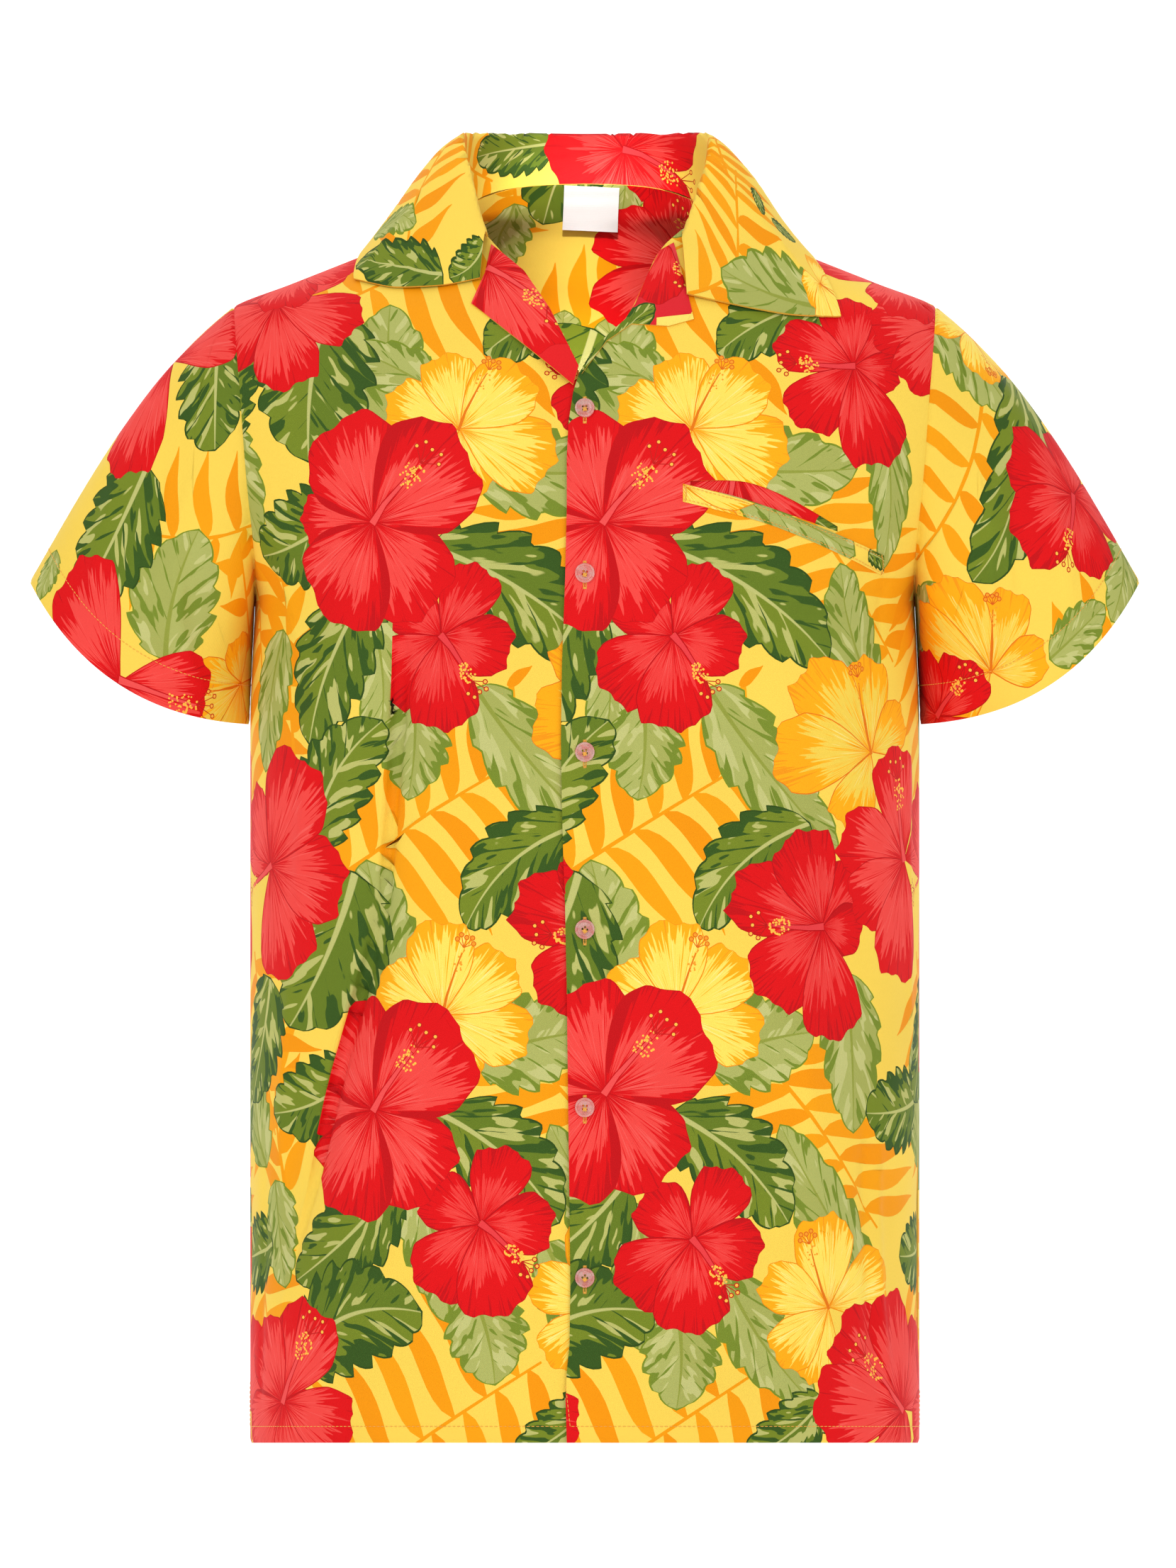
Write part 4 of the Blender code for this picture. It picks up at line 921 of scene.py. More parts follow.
def thinned(outline):
    """An outline without those of its even points that its neighbours' own line passes close to."""
    before, after = np.roll(outline, 1, axis=0), np.roll(outline, -1, axis=0)
    chord, gap = after - before, outline - before
    off = np.abs(chord[:, 0] * gap[:, 1] - chord[:, 1] * gap[:, 0]) / np.maximum(np.hypot(*chord.T), 1e-9)
    return outline[(off > OUTLINE_SLACK) | (np.arange(len(outline)) % 2 == 0)]


class Shapes:
    """Flat shapes of the print, lowest first: outlines, what fills each, its colour and its own axes."""

    def __init__(self):
        self.outlines, self.layers, self.kinds, self.inks, self.axes = [], [], [], [], []

    def add(self, outline, layer, kind=INK, ink=GROUND, axes=PLAIN_AXES):
        """axes are an origin, one step along, one step across, a bow and a seed."""
        self.outlines.append(thinned(thinned(np.asarray(outline, float))))
        self.layers.append((layer, len(self.layers)))
        self.kinds.append(kind)
        self.inks.append(ink)
        self.axes.append(axes)

    def moved(self, matrix, shift, low, high):
        """The shapes that a matrix and a shift bring inside a box, in the order they lie on each other."""
        inverse = np.linalg.inv(matrix)
        found = []
        for number in sorted(range(len(self.layers)), key=lambda n: self.layers[n]):
            outline = self.outlines[number] @ matrix.T + shift
            if (outline.max(axis=0) < low).any() or (outline.min(axis=0) > high).any():
                continue
            origin, along, across, bow, seed = self.axes[number]
            # One step along or across turns with the shape, so the rows that measure it turn the other way
            found.append(
                (self.layers[number], anticlockwise(outline), self.kinds[number], self.inks[number],
                 (origin @ matrix.T + shift, along @ inverse, across @ inverse, bow, seed))
            )
        return found


def turned(degrees):
    angle = math.radians(degrees)
    return np.array([[math.cos(angle), -math.sin(angle)], [math.sin(angle), math.cos(angle)]])


def local(points, base, along, length, half_width):
    """Points given in lengths and half widths, laid out from a base along a direction in degrees."""
    return np.asarray(base) + (np.asarray(points) * (length, half_width)) @ turned(along).T


def frame_axes(base, along, length, half_width, bow=0.0, seed=0.0):
    """The rows that measure a place in lengths and half widths from a base."""
    direction = turned(along)
    return np.asarray(base, float), direction[:, 0] / length, direction[:, 1] / half_width, bow, seed


def strip(line, widths):
    """The outline of a strip along a line of points, with its width at each."""
    line = np.asarray(line, float)
    side = left_of(line) * np.asarray(widths)[:, None] / 2
    return np.vstack([line - side, (line + side)[::-1]])


def add_petal(shapes, layer, centre, along, length, spread, lean, look, seed):
    """One broad petal with a frilled edge, over a rim that shows all round it."""
    ink, kind, rim = look
    sweep = np.sin(np.linspace(-math.pi / 2, math.pi / 2, 57))
    frill = 0.065 * np.abs(np.sin(sweep * 5.2 + seed * 9)) + 0.03 * np.abs(np.sin(sweep * 11.7 + seed * 23))
    reach = np.clip(1 - np.abs(sweep) ** PETAL_ROUND, 0, 1) ** 0.5 * (1.04 - frill + lean * sweep)
    angles = np.radians(along) + math.radians(spread) * sweep
    rays = np.stack([np.cos(angles), np.sin(angles)], axis=1)
    centre = np.asarray(centre, float)
    shapes.add(centre + rays * (reach * length + PETAL_RIM)[:, None], layer, INK, rim)
    rays = rays * (reach * length)[:, None] + turned(along)[:, 0] * PETAL_RIM * 0.8
    axes = frame_axes(centre, along, length, length, 0.0, seed)
    shapes.add(centre + rays, layer, kind, ink, axes)


def ring_of(centre, radius, sides=7):
    turns = np.linspace(0, 2 * math.pi, sides + 1)[:-1]
    return np.asarray(centre) + radius * np.stack([np.cos(turns), np.sin(turns)], axis=1)


def add_flower(shapes, number, row):
    """A five-petalled flower seen from the front, with its pillar of stamens lying over one petal."""
    kind, bloom, x, y, turn, *size = row
    size = size[0] if size else 1.0
    layer = FLOWER_LAYER + number
    look, rim, pillar, dot, ring = FLOWER_LOOKS[kind]
    filling = PETAL_YELLOW if kind in ("yellow", "orange") else PETAL_RED
    centre = np.array([x, y], float)
    (along, reach, spread), *petals = BLOOMS[bloom]
    for step, (petal_along, length, half, *lean) in enumerate(petals):
        seed = (number * 0.37 + step * 0.213) % 1 + (kind in DEEPER)
        lean = lean[0] if lean else 0.06 * math.sin(seed * 40)
        way, long_ = petal_along + turn, length * size
        add_petal(shapes, layer, centre, way, long_, half, lean, (look, filling, rim), seed)
    reach, spread = reach * size, spread * size
    out = turned(along + turn).T
    line = np.array([(-0.03, 0.0), (0.3, 0.03), (0.7, 0.02), (1.0, 0.0)]) * reach @ out
    if filling == PETAL_YELLOW:
        shapes.add(centre + strip(line, (2.2, 1.6, 1.1, 0.8)), layer, INK, pillar)
    else:
        shapes.add(centre + strip(line, (6.0, 4.4, 3.4, 2.6)), layer, INK, rim)
        shapes.add(centre + strip(line * 0.99, (4.4, 3.0, 2.2, 1.6)), layer, INK, pillar)
    around = np.random.default_rng(SEED + number)
    for place in around.uniform(-1, 1, (14 if filling == PETAL_YELLOW else 60, 2)):
        if np.hypot(*place) > 1:
            continue
        spot = np.array([reach * (0.88 + 0.22 * place[0]), place[1] * spread])
        shapes.add(centre + ring_of(spot @ out, around.uniform(0.6, 0.95), 5), layer, INK, dot)
    for step in range(5):
        fan = math.radians(-52 + 26 * step)
        root = np.array([reach * 1.08, 0.0])
        end = root + spread * (1.7 + 0.4 * (step % 2)) * np.array([math.cos(fan), math.sin(fan)])
        stalk = np.array([root, (root + end) / 2, end]) @ out
        shapes.add(centre + strip(stalk, (0.7, 0.6, 0.5)), layer, INK, ring)
        shapes.add(centre + ring_of(end @ out, 1.8, 8), layer, INK, ring)
        shapes.add(centre + ring_of(end @ out, 1.15, 6), layer, INK, dot)


def leaf_edge(lobes, depth, blunt, seed):
    """Half widths of a leaf along its length, with lobes that point to its tip."""
    share = np.linspace(0, 1, 8 * lobes + 3)
    swell = np.sin(math.pi * share**0.8) ** blunt
    phase = (share * lobes + seed) % 1
    notch = 1 - depth * (1 - phase) ** 2 * np.minimum(1, phase * 12 + 0.2)
    return share, swell * notch


def add_leaf(shapes, number, row):
    kind, x, y, tip_x, tip_y, width, bow = row
    along = math.degrees(math.atan2(tip_y - y, tip_x - x))
    length, half = math.hypot(tip_x - x, tip_y - y), width / 2
    layer, filling, ink, rim, lobes, depth, blunt = LEAF_LOOKS[kind]
    layer = layer + number
    seed = (number * 0.39) % 1
    share, right = leaf_edge(lobes, depth, blunt, seed)
    _, left = leaf_edge(lobes, depth, blunt, (seed + 0.45) % 1)
    middle = bow * 4 * share * (1 - share)
    axes = frame_axes((x, y), along, length, half, bow, seed)
    for grown, filled, colour, own in ((LEAF_RIM, INK, rim, PLAIN_AXES), (0.0, filling, ink, axes)):
        low = np.stack([share, middle - right - grown / half], axis=1)
        high = np.stack([share, middle + left + grown / half], axis=1)[::-1]
        ends = np.array([(1 + grown / length, 0.0)])
        start = np.array([(-grown / length, 0.0)])
        outline = np.vstack([start, low[1:-1], ends, high[1:-1]])
        shapes.add(local(outline, (x, y), along, length, half), layer, filled, colour, own)


def add_blade(shapes, layer, ink, root, along, reach, turn, wide):
    """One blade of a palm leaf: it leaves the midrib one way and turns to another, widest past its middle."""
    t = np.linspace(0, 1, 13)
    bend = np.radians(along + turn * (t - 0.15) + math.copysign(14, turn) * np.sin(2 * math.pi * t))
    stride = np.stack([np.cos(bend), np.sin(bend)], axis=1) * reach / 12
    path = root + np.vstack([np.zeros(2), np.cumsum(stride[:-1], axis=0)])
    widths = 0.5 + wide * (0.1 + 0.9 * np.sin(math.pi * t**0.75) ** 0.8) * (1 - t**6)
    shapes.add(strip(path, widths), layer, INK, ink)


def add_frond(shapes, number, row, wide=BLADE_WIDTH):
    """A palm leaf: a thin midrib with curved blades in pairs, in three oranges."""
    x, y, tip_x, tip_y, blades, *sides = row
    base, tip = np.array([x, y]), np.array([tip_x, tip_y])
    along = math.degrees(math.atan2(tip_y - y, tip_x - x))
    across = turned(along)[:, 1]
    layer = FROND_LAYER + number
    for blade in range(int(blades)):
        for side, (long_, lean, turn) in ((1, sides[:3]), (-1, sides[3:])):
            at = (blade + (0.3 if side > 0 else 0.6)) / blades
            root = base + (tip - base) * at + across * 6 * at * (1 - at)
            swell = 0.72 + 0.4 * math.sin(math.pi * (0.2 + 0.7 * at))
            reach = long_ * swell * (1 + 0.05 * math.sin(blade * 5.1))
            ink = FROND_INKS[(blade + number + (side > 0)) % len(FROND_INKS)]
            add_blade(shapes, layer, ink, root, along + side * lean, reach, side * turn, wide)
    share = np.linspace(0, 1, 9)
    line = base + (tip - base) * share[:, None] + across * (6 * share * (1 - share))[:, None]
    shapes.add(strip(line, 3.0 - 1.4 * share), layer, INK, FROND_INKS[0])


def print_repeat(other_leaves={}, other_flowers={}):
    shapes = Shapes()
    for number, row in enumerate(FRONDS):
        add_frond(shapes, number, row)
    for x, y, tip_x, tip_y, wide in FROND_TIPS:
        along = math.degrees(math.atan2(tip_y - y, tip_x - x))
        reach = math.hypot(tip_x - x, tip_y - y)
        add_blade(shapes, FROND_LAYER, FROND_INKS[1], np.array([x, y]), along, reach, 30, wide)
    leaves = [(kind, *row) for kind, rows in LEAVES.items() for row in rows]
    for number, row in enumerate(leaves):
        add_leaf(shapes, number, other_leaves.get(number, row))
    for number, row in enumerate(FLOWERS):
        add_flower(shapes, number, other_flowers.get(number, row))
    return shapes


class Print:
    """The repeat laid on a piece: a place in it, times the matrix, plus the shift, is one on the piece."""

    def __init__(self, repeat, matrix=((1, 0), (0, 1)), shift=(0, 0)):
        self.repeat = repeat
        self.matrix = np.array(matrix, float)
        self.shift = np.array(shift, float)

    def over(self, low, high):
        corners = np.array([(low[0], low[1]), (high[0], low[1]), (high[0], high[1]), (low[0], high[1])])
        back = (corners - self.shift) @ np.linalg.inv(self.matrix).T
        first = np.floor((back.min(axis=0) - REPEAT_HIGH) / REPEAT).astype(int)
        last = np.ceil((back.max(axis=0) - REPEAT_LOW) / REPEAT).astype(int)
        found = []
        for i in range(first[0], last[0] + 1):
            for j in range(first[1], last[1] + 1):
                moved = self.shift + self.matrix @ (REPEAT * (i, j))
                found += self.repeat.moved(self.matrix, moved, low, high)
        return sorted(found, key=lambda shape: shape[0])


def edge_distance(points, loops):
    """How far each point lies from the nearest of the loops."""
    starts = np.vstack(loops)
    sides = np.vstack([np.roll(loop, -1, axis=0) for loop in loops]) - starts
    squares = np.maximum(np.sum(sides**2, axis=1), 1e-9)
    nearest = np.full(len(points), 1e9)
    for first in range(0, len(points), 2000):
        chunk = points[first : first + 2000, None]
        share = np.clip(np.sum((chunk - starts) * sides, axis=2) / squares, 0, 1)
        gap = np.linalg.norm(starts + sides * share[..., None] - chunk, axis=2)
        nearest[first : first + 2000] = gap.min(axis=1)
    return nearest


def lattice_in(low, high, spacing):
    rows = []
    for number, v in enumerate(np.arange(low[1] + spacing / 2, high[1], spacing * 0.87)):
        u = np.arange(low[0] + spacing * (0.25 + 0.5 * (number % 2)), high[0], spacing)
        rows.append(np.stack([u, np.full_like(u, v)], axis=1))
    return np.vstack(rows)


class Mosaic:
    """A flat piece cut into triangles along every edge of the print that lies on it."""

    def __init__(self, outline, printed, web, holes=(), extra=(), fold=None):
        """fold is a line, and the layers of the shapes that don't show on its left."""
        loops = [outline, *holes]
        low, high = loops[0].min(axis=0), loops[0].max(axis=0)
        shapes = printed.over(low, high) if printed else []
        lattice = lattice_in(low, high, web)
        lattice = lattice[edge_distance(lattice, loops) > web * 0.4]
        ring = pulled_in(loops[0], EDGE_ROLL_WIDTH)
        ring = ring[edge_distance(ring, loops) > EDGE_ROLL_WIDTH * 0.9]
        blocks, faces, start = [], [], 0
        for loop in loops + [shape[1] for shape in shapes]:
            blocks.append(loop)
            faces.append(list(range(start, start + len(loop))))
            start += len(loop)
        count = len(loops)
        edges, beyond = [], set()
        if fold:
            line, layers = fold
            edges = [(start + n, start + n + 1) for n in range(len(line) - 1)]
            blocks.append(line)
            beyond = {count + n for n, shape in enumerate(shapes) if shape[0][0] in layers}
        points = np.vstack([*blocks, lattice, ring, *extra])
        vectors = [Vector(pair) for pair in points.tolist()]
        found, _, triangles, _, _, owners = delaunay_2d_cdt(vectors, edges, faces, 0, 1e-3, True)
        kept = []
        for face, owner in zip(triangles, owners):
            if 0 not in owner or any(0 < one < count for one in owner):
                continue
            if beyond.intersection(owner):
                x, y = (sum(found[n][axis] for n in face) / 3 for axis in (0, 1))
                if x < np.interp(y, line[::-1, 1], line[::-1, 0]):
                    owner = set(owner) - beyond
            kept.append((face, max(owner) - count))
        faces = np.array([face for face, _ in kept])
        tops = np.array([top for _, top in kept])
        used, faces = np.unique(faces, return_inverse=True)
        self.points = np.array([(found[n].x, found[n].y) for n in used])
        self.faces = faces.reshape(-1, 3)
        corners = self.points[self.faces]
        fillings = [(INK, GROUND, PLAIN_AXES)] + [shape[2:] for shape in shapes]
        kinds, inks, axes = zip(*fillings)
        number = np.maximum(tops + 1, 0)
        origin, along, across, bow, seed = (np.array(column, float)[number][:, None] for column in zip(*axes))
        self.kinds = np.array(kinds)[number]
        self.inks = np.repeat(np.array(inks)[number], 3, axis=0)
        gap = corners - origin
        x = np.sum(gap * along, axis=2)
        y = np.sum(gap * across, axis=2) - bow * 4 * x * (1 - x)
        seed = np.broadcast_to(seed, x.shape)
        self.drawn = np.stack([x, y, seed], axis=-1).reshape(-1, 3)


class Wire:
    """A number or colour on its way through a material. Arithmetic on it adds a Math node."""

    def __init__(self, finish, socket):
        self.finish, self.socket = finish, socket

    def through(self, operation, *others):
        return self.finish.math(operation, self, *others)

    def __add__(self, other):
        return self.through("ADD", other)

    def __sub__(self, other):
        return self.through("SUBTRACT", other)

    def __rsub__(self, other):
        return self.finish.math("SUBTRACT", other, self)

    def __mul__(self, other):
        return self.through("MULTIPLY", other)

    def __truediv__(self, other):
        return self.through("DIVIDE", other)


class Finish:
    """A material as it is made up: each node is added with what feeds it."""

    def __init__(self, name, **values):
        self.material = bpy.data.materials.new(name)
        self.material.use_nodes = True
        self.tree = self.material.node_tree
        self.shader = self.tree.nodes["Principled BSDF"]
        for socket, value in values.items():
            self.feed(self.shader.inputs[socket.replace("_", " ")], value)

    def feed(self, socket, value):
        if isinstance(value, Wire):
            self.tree.links.new(value.socket, socket)
        elif socket.type == "RGBA" and len(value) == 3:
            socket.default_value = (*value, 1.0)
        else:
            socket.default_value = value

    def add(self, kind, inputs=(), output=0, **settings):
        """A node with its settings and what feeds it, as what leaves one of its outputs."""
        node = self.tree.nodes.new("ShaderNode" + kind)
        for name, value in settings.items():
            setattr(node, name, value)
        for name, value in dict(inputs).items():
            self.feed(node.inputs[name], value)
        return Wire(self, node.outputs[output])

    def math(self, operation, *values):
        return self.add("Math", enumerate(values), operation=operation)

    def mix(self, share, low, high, blend="MIX"):
        return self.add("Mix", {0: share, 6: low, 7: high}, 2, data_type="RGBA", blend_type=blend)

    def ease(self, value, low, high):
        """0 below the low value and 1 above the high one, with a soft step between."""
        limits = {"Value": value, "From Min": low, "From Max": high}
        return self.add("MapRange", limits, interpolation_type="SMOOTHSTEP")

    def noise(self, place, scale=1.0, detail=2.0, roughness=0.5):
        inputs = {"Vector": place, "Scale": scale, "Detail": detail, "Roughness": roughness}
        return self.add("TexNoise", inputs, "Fac")

    def vector(self, x, y, z=0.0):
        return self.add("CombineXYZ", {"X": x, "Y": y, "Z": z})

    def parts(self, vector):
        x = self.add("SeparateXYZ", {"Vector": vector})
        return [Wire(self, socket) for socket in x.socket.node.outputs]

    def ink(self):
        return self.add("Attribute", output="Color", attribute_name="ink")

    def drawn(self):
        """Along and across the shape that is drawn, and its seed."""
        return self.parts(self.add("Attribute", output="Vector", attribute_name="drawn"))

    def object_place(self):
        return self.add("TexCoord", output="Object")

    def flat_place(self):
        return self.add("UVMap", uv_map="flat")

    def done(self, colour, height=None, strength=0.0, distance=0.0):
        """The material with its colour, and a bump where a height is given."""
        self.feed(self.shader.inputs["Base Color"], colour)
        if height:
            bump = self.add("Bump", {"Height": height, "Strength": strength, "Distance": distance})
            self.feed(self.shader.inputs["Normal"], bump)
        return self.material


def weave(finish, colour):
    """The cloth's own look under any print: fine threads each way, slubs, and a slight unevenness of dye."""
    flat = finish.flat_place()
    across, up, _ = finish.parts(flat)
    warp = (across * (2 * math.pi * WEAVE_PER_UNIT)).through("SINE")
    weft = (up * (2 * math.pi * WEAVE_PER_UNIT * 0.9)).through("SINE")
    slub = finish.noise(flat, 60.0, 3.0, 0.6)
    threads = warp * weft
    height = threads * 0.25 + slub * 0.9 + finish.noise(flat, 2.2) * 5.0
    dye = finish.noise(flat, 0.9, 3.0) * 0.16 + 0.92
    shade = slub * 0.08 + (threads * 0.018 + dye - 0.04)
    coloured = finish.mix(1.0, colour, finish.vector(shade, shade, shade), "MULTIPLY")
    return finish.done(coloured, height, 0.35, 0.0004)


def cloth_finish(name):
    return Finish(name, Roughness=0.62, Specular_IOR_Level=0.12, Sheen_Weight=0.02, Sheen_Roughness=0.45)


def flat_colour_print():
    finish = cloth_finish("print_flat_colours")
    return weave(finish, finish.ink())


def petal_print(name, stroke, deep, light, fill_at, base_reach):
    """A petal: strokes run in from its rim and out from its base, fuller on one side."""
    finish = cloth_finish(name)
    x, y, seed = finish.drawn()
    angle = y.through("ARCTAN2", x)
    reach = (x * x + y * y).through("SQRT")
    jump = seed * 37.0
    fine = finish.noise(finish.vector(angle * 24.0 + jump, reach * 1.1, jump), detail=1.0) - 0.5
    thin = finish.noise(finish.vector(angle * 44.0 + jump, reach * 1.9, jump), detail=1.0) - 0.5
    side = (angle.through("ABSOLUTE") / 0.74).through("POWER", 4.0)
    room = (1.0 - side).through("MAXIMUM", 0.02).through("SQRT")
    heavy = seed.through("GREATER_THAN", 1.0)
    edge = heavy * 0.18 + (angle * 0.22 + reach / room)
    rim = fine * 0.85 + edge
    base = thin * 1.1 + base_reach - reach
    inked = finish.ease(rim, fill_at, fill_at + 0.03).through("MAXIMUM", finish.ease(base, 0.0, 0.03))
    inked = inked.through("MAXIMUM", finish.ease(edge * 0.14 + thin, 0.2, 0.23))
    pale = finish.ease(edge * -0.1 - thin, 0.08, 0.12)
    colour = finish.mix(inked, finish.mix(pale * 0.4, finish.ink(), light), stroke)
    darker = finish.ease(thin * 1.5 + rim, fill_at + 0.42, fill_at + 0.47)
    darker = darker.through("MAXIMUM", finish.ease(base, base_reach * 0.8, base_reach * 0.9))
    return weave(finish, finish.mix(darker * 0.5, colour, deep))


def leaf_print(name, veins, slant, stroke, strength, light, lightness, midrib, shaded):
    """A leaf painted with strokes that leave its midrib, lean to its tip and open towards its edge."""
    finish = cloth_finish(name)
    x, y, seed = finish.drawn()
    out = y.through("ABSOLUTE")
    upper = y.through("GREATER_THAN", 0.0)
    jump = upper * 5.3 + seed * 29.0
    lean = out * (out * -0.35 + 1.35) * (-slant / veins) + x
    phase = lean * veins + (upper * 0.45 + seed)
    streak = finish.noise(finish.vector(lean * (veins * 1.5) + jump, out * 2.0, jump), detail=1.0)
    wander = finish.noise(finish.vector(lean * (veins * 0.9) + jump, out * 2.2, jump)) - 0.5
    from_middle = (phase.through("FRACT") - 0.5).through("ABSOLUTE")
    gap = wander * 0.5 + (0.5 - from_middle)
    strokes = finish.ease(out * out * strength + 0.015 - gap, 0.0, 0.03)
    far = out * (0.6 * strength) + (0.33 - streak)
    strokes = strokes.through("MAXIMUM", finish.ease(far, 0.0, 0.02))
    lens = finish.ease(streak - 0.66 + (out * 3.0).through("SINE") * lightness, 0.0, 0.02)
    rib = finish.ease(x * -0.05 + 0.06 - out, -0.01, 0.01)
    colour = finish.mix(upper * 0.6, finish.ink(), shaded)
    for share, above in ((lens, light), (strokes, stroke), (rib, midrib)):
        colour = finish.mix(share, colour, above)
    return weave(finish, colour)


def printed_finishes():
    """The printed cloth's finishes, in the order of the kinds of shape that they fill."""
    return [
        flat_colour_print(),
        petal_print("print_red_petals", tint("dc0a10"), tint("a00610"), tint("f47068"), 0.76, 0.26),
        petal_print("print_yellow_petals", tint("fbab10"), tint("e87c10"), tint("fdf4ae"), 0.82, 0.16),
        leaf_print("print_dark_leaves", 6.0, 2.2, tint("36541a"), 0.3, tint("b8b868"), 0.1, tint("bcbc70"),
                   tint("57701e")),
        leaf_print("print_sage_leaves", 5.0, 2.0, tint("76882a"), 0.24, tint("c0c078"), 0.1, tint("90983c"),
                   tint("a0a450")),
    ]


def thread_finish():
    finish = Finish("sewing_thread", Roughness=0.5, Sheen_Weight=0.2)
    place = {"Vector": finish.object_place(), "Scale": 900.0}
    ply = finish.add("TexWave", place, "Fac", bands_direction="DIAGONAL")
    return finish.done(finish.mix(ply, tint("e8951c"), tint("f9c04a")), ply, 0.4, 0.0001)


def label_finish():
    finish = Finish("label_satin", Roughness=0.42, Sheen_Weight=0.15)
    flat = finish.flat_place()
    place = {"Vector": flat, "Scale": 38.0, "Distortion": 0.4}
    ribs = finish.add("TexWave", place, "Fac", bands_direction="Y")
    shade = finish.noise(flat, 90.0) * 0.06 + (ribs * 0.03 + 0.9)
    return finish.done(finish.vector(shade, shade, shade * 0.985), ribs, 0.3, 0.0001)


def resin_finish():
    looks = {"Roughness": 0.06, "IOR": 1.46, "Transmission_Weight": 0.45, "Coat_Weight": 0.4}
    finish = Finish("button_resin", **looks, Coat_Roughness=0.08)
    cloud = finish.ease(finish.noise(finish.object_place(), 260.0, 2.0, 0.6), 0.35, 0.7)
    return finish.done(finish.mix(cloud, tint("ff9a90"), tint("ffc8be")))


def stage_finish():
    finish = Finish("stage_white", Roughness=0.9, Emission_Color=(1.0, 1.0, 1.0), Emission_Strength=0.22)
    shade = finish.noise(finish.object_place(), 3.0) * 0.01 + 0.955
    return finish.done(finish.vector(shade, shade, shade))


def new_piece(name, points, faces, finishes, kinds=None):
    mesh = bpy.data.meshes.new(name)
    mesh.from_pydata((np.asarray(points) * MM).tolist(), [], [list(face) for face in faces])
    for finish in finishes:
        mesh.materials.append(finish)
    if kinds is not None:
        mesh.polygons.foreach_set("material_index", np.asarray(kinds, np.int32))
    mesh.shade_smooth()
    piece = bpy.data.objects.new(name, mesh)
    bpy.context.scene.collection.objects.link(piece)
    return piece


def declare(piece, slot, *replaced):
    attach(piece, CARRIER)
    if replaced:
        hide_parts(*replaced)
    return piece


class Surface:
    """The outer face of a piece: its sheet, lifted, and rolled down towards the piece's edges."""

    def __init__(self, cloth, lift=0.0, loops=(), roll=(EDGE_ROLL, EDGE_ROLL_WIDTH)):
        self.cloth, self.lift, self.loops, self.roll = cloth, lift, loops, roll

    def plain(self, flat):
        points, normals = self.cloth.at(flat)
        rise = self.lift(points) if callable(self.lift) else np.full(len(points), float(self.lift))
        return points + normals * rise[:, None]

    def at(self, flat):
        """Outer points, their normals with the roll, and their normals without it."""
        reach = 1.2
        points = self.plain(flat)
        along = unit(self.plain(flat + (reach, 0)) - self.plain(flat - (reach, 0)))
        up = unit(self.plain(flat + (0, reach)) - self.plain(flat - (0, reach)))
        normals = unit(np.cross(along, up))
        _, outward = self.cloth.at(flat)
        normals = normals * np.sign(np.sum(normals * outward, axis=1, keepdims=True) + 1e-9)
        if not self.loops:
            return points, normals, normals
        depth, width = self.roll
        gap = edge_distance(flat, self.loops)
        share = np.clip(1 - gap / width, 0, 1)
        near = share > 0
        slope = np.zeros_like(flat)
        if near.any():
            step = 0.4
            close = flat[near]
            for axis, push in enumerate(((step, 0), (0, step))):
                ahead = edge_distance(close + push, self.loops)
                behind = edge_distance(close - np.array(push), self.loops)
                slope[near, axis] = (ahead - behind) / (2 * step)
        fall = depth * share**2
        tilt = np.minimum(2 * depth * share / width, 1.2)[:, None]
        rolled = unit(normals - tilt * (slope[:, :1] * along + slope[:, 1:] * up))
        return points - normals * fall[:, None], rolled, normals


def shell_faces(triangles, count):
    """Outer triangles, the same ones turned over for the inner side, and the rim between, also by itself."""
    ends = {}
    for a, b, c in triangles.tolist():
        for edge in ((a, b), (b, c), (c, a)):
            ends[edge] = True
    rim = [(b, a, a + count, b + count) for a, b in ends if (b, a) not in ends]
    inner = triangles[:, ::-1] + count
    return [tuple(face) for face in triangles.tolist()] + [tuple(face) for face in inner.tolist()] + rim, rim


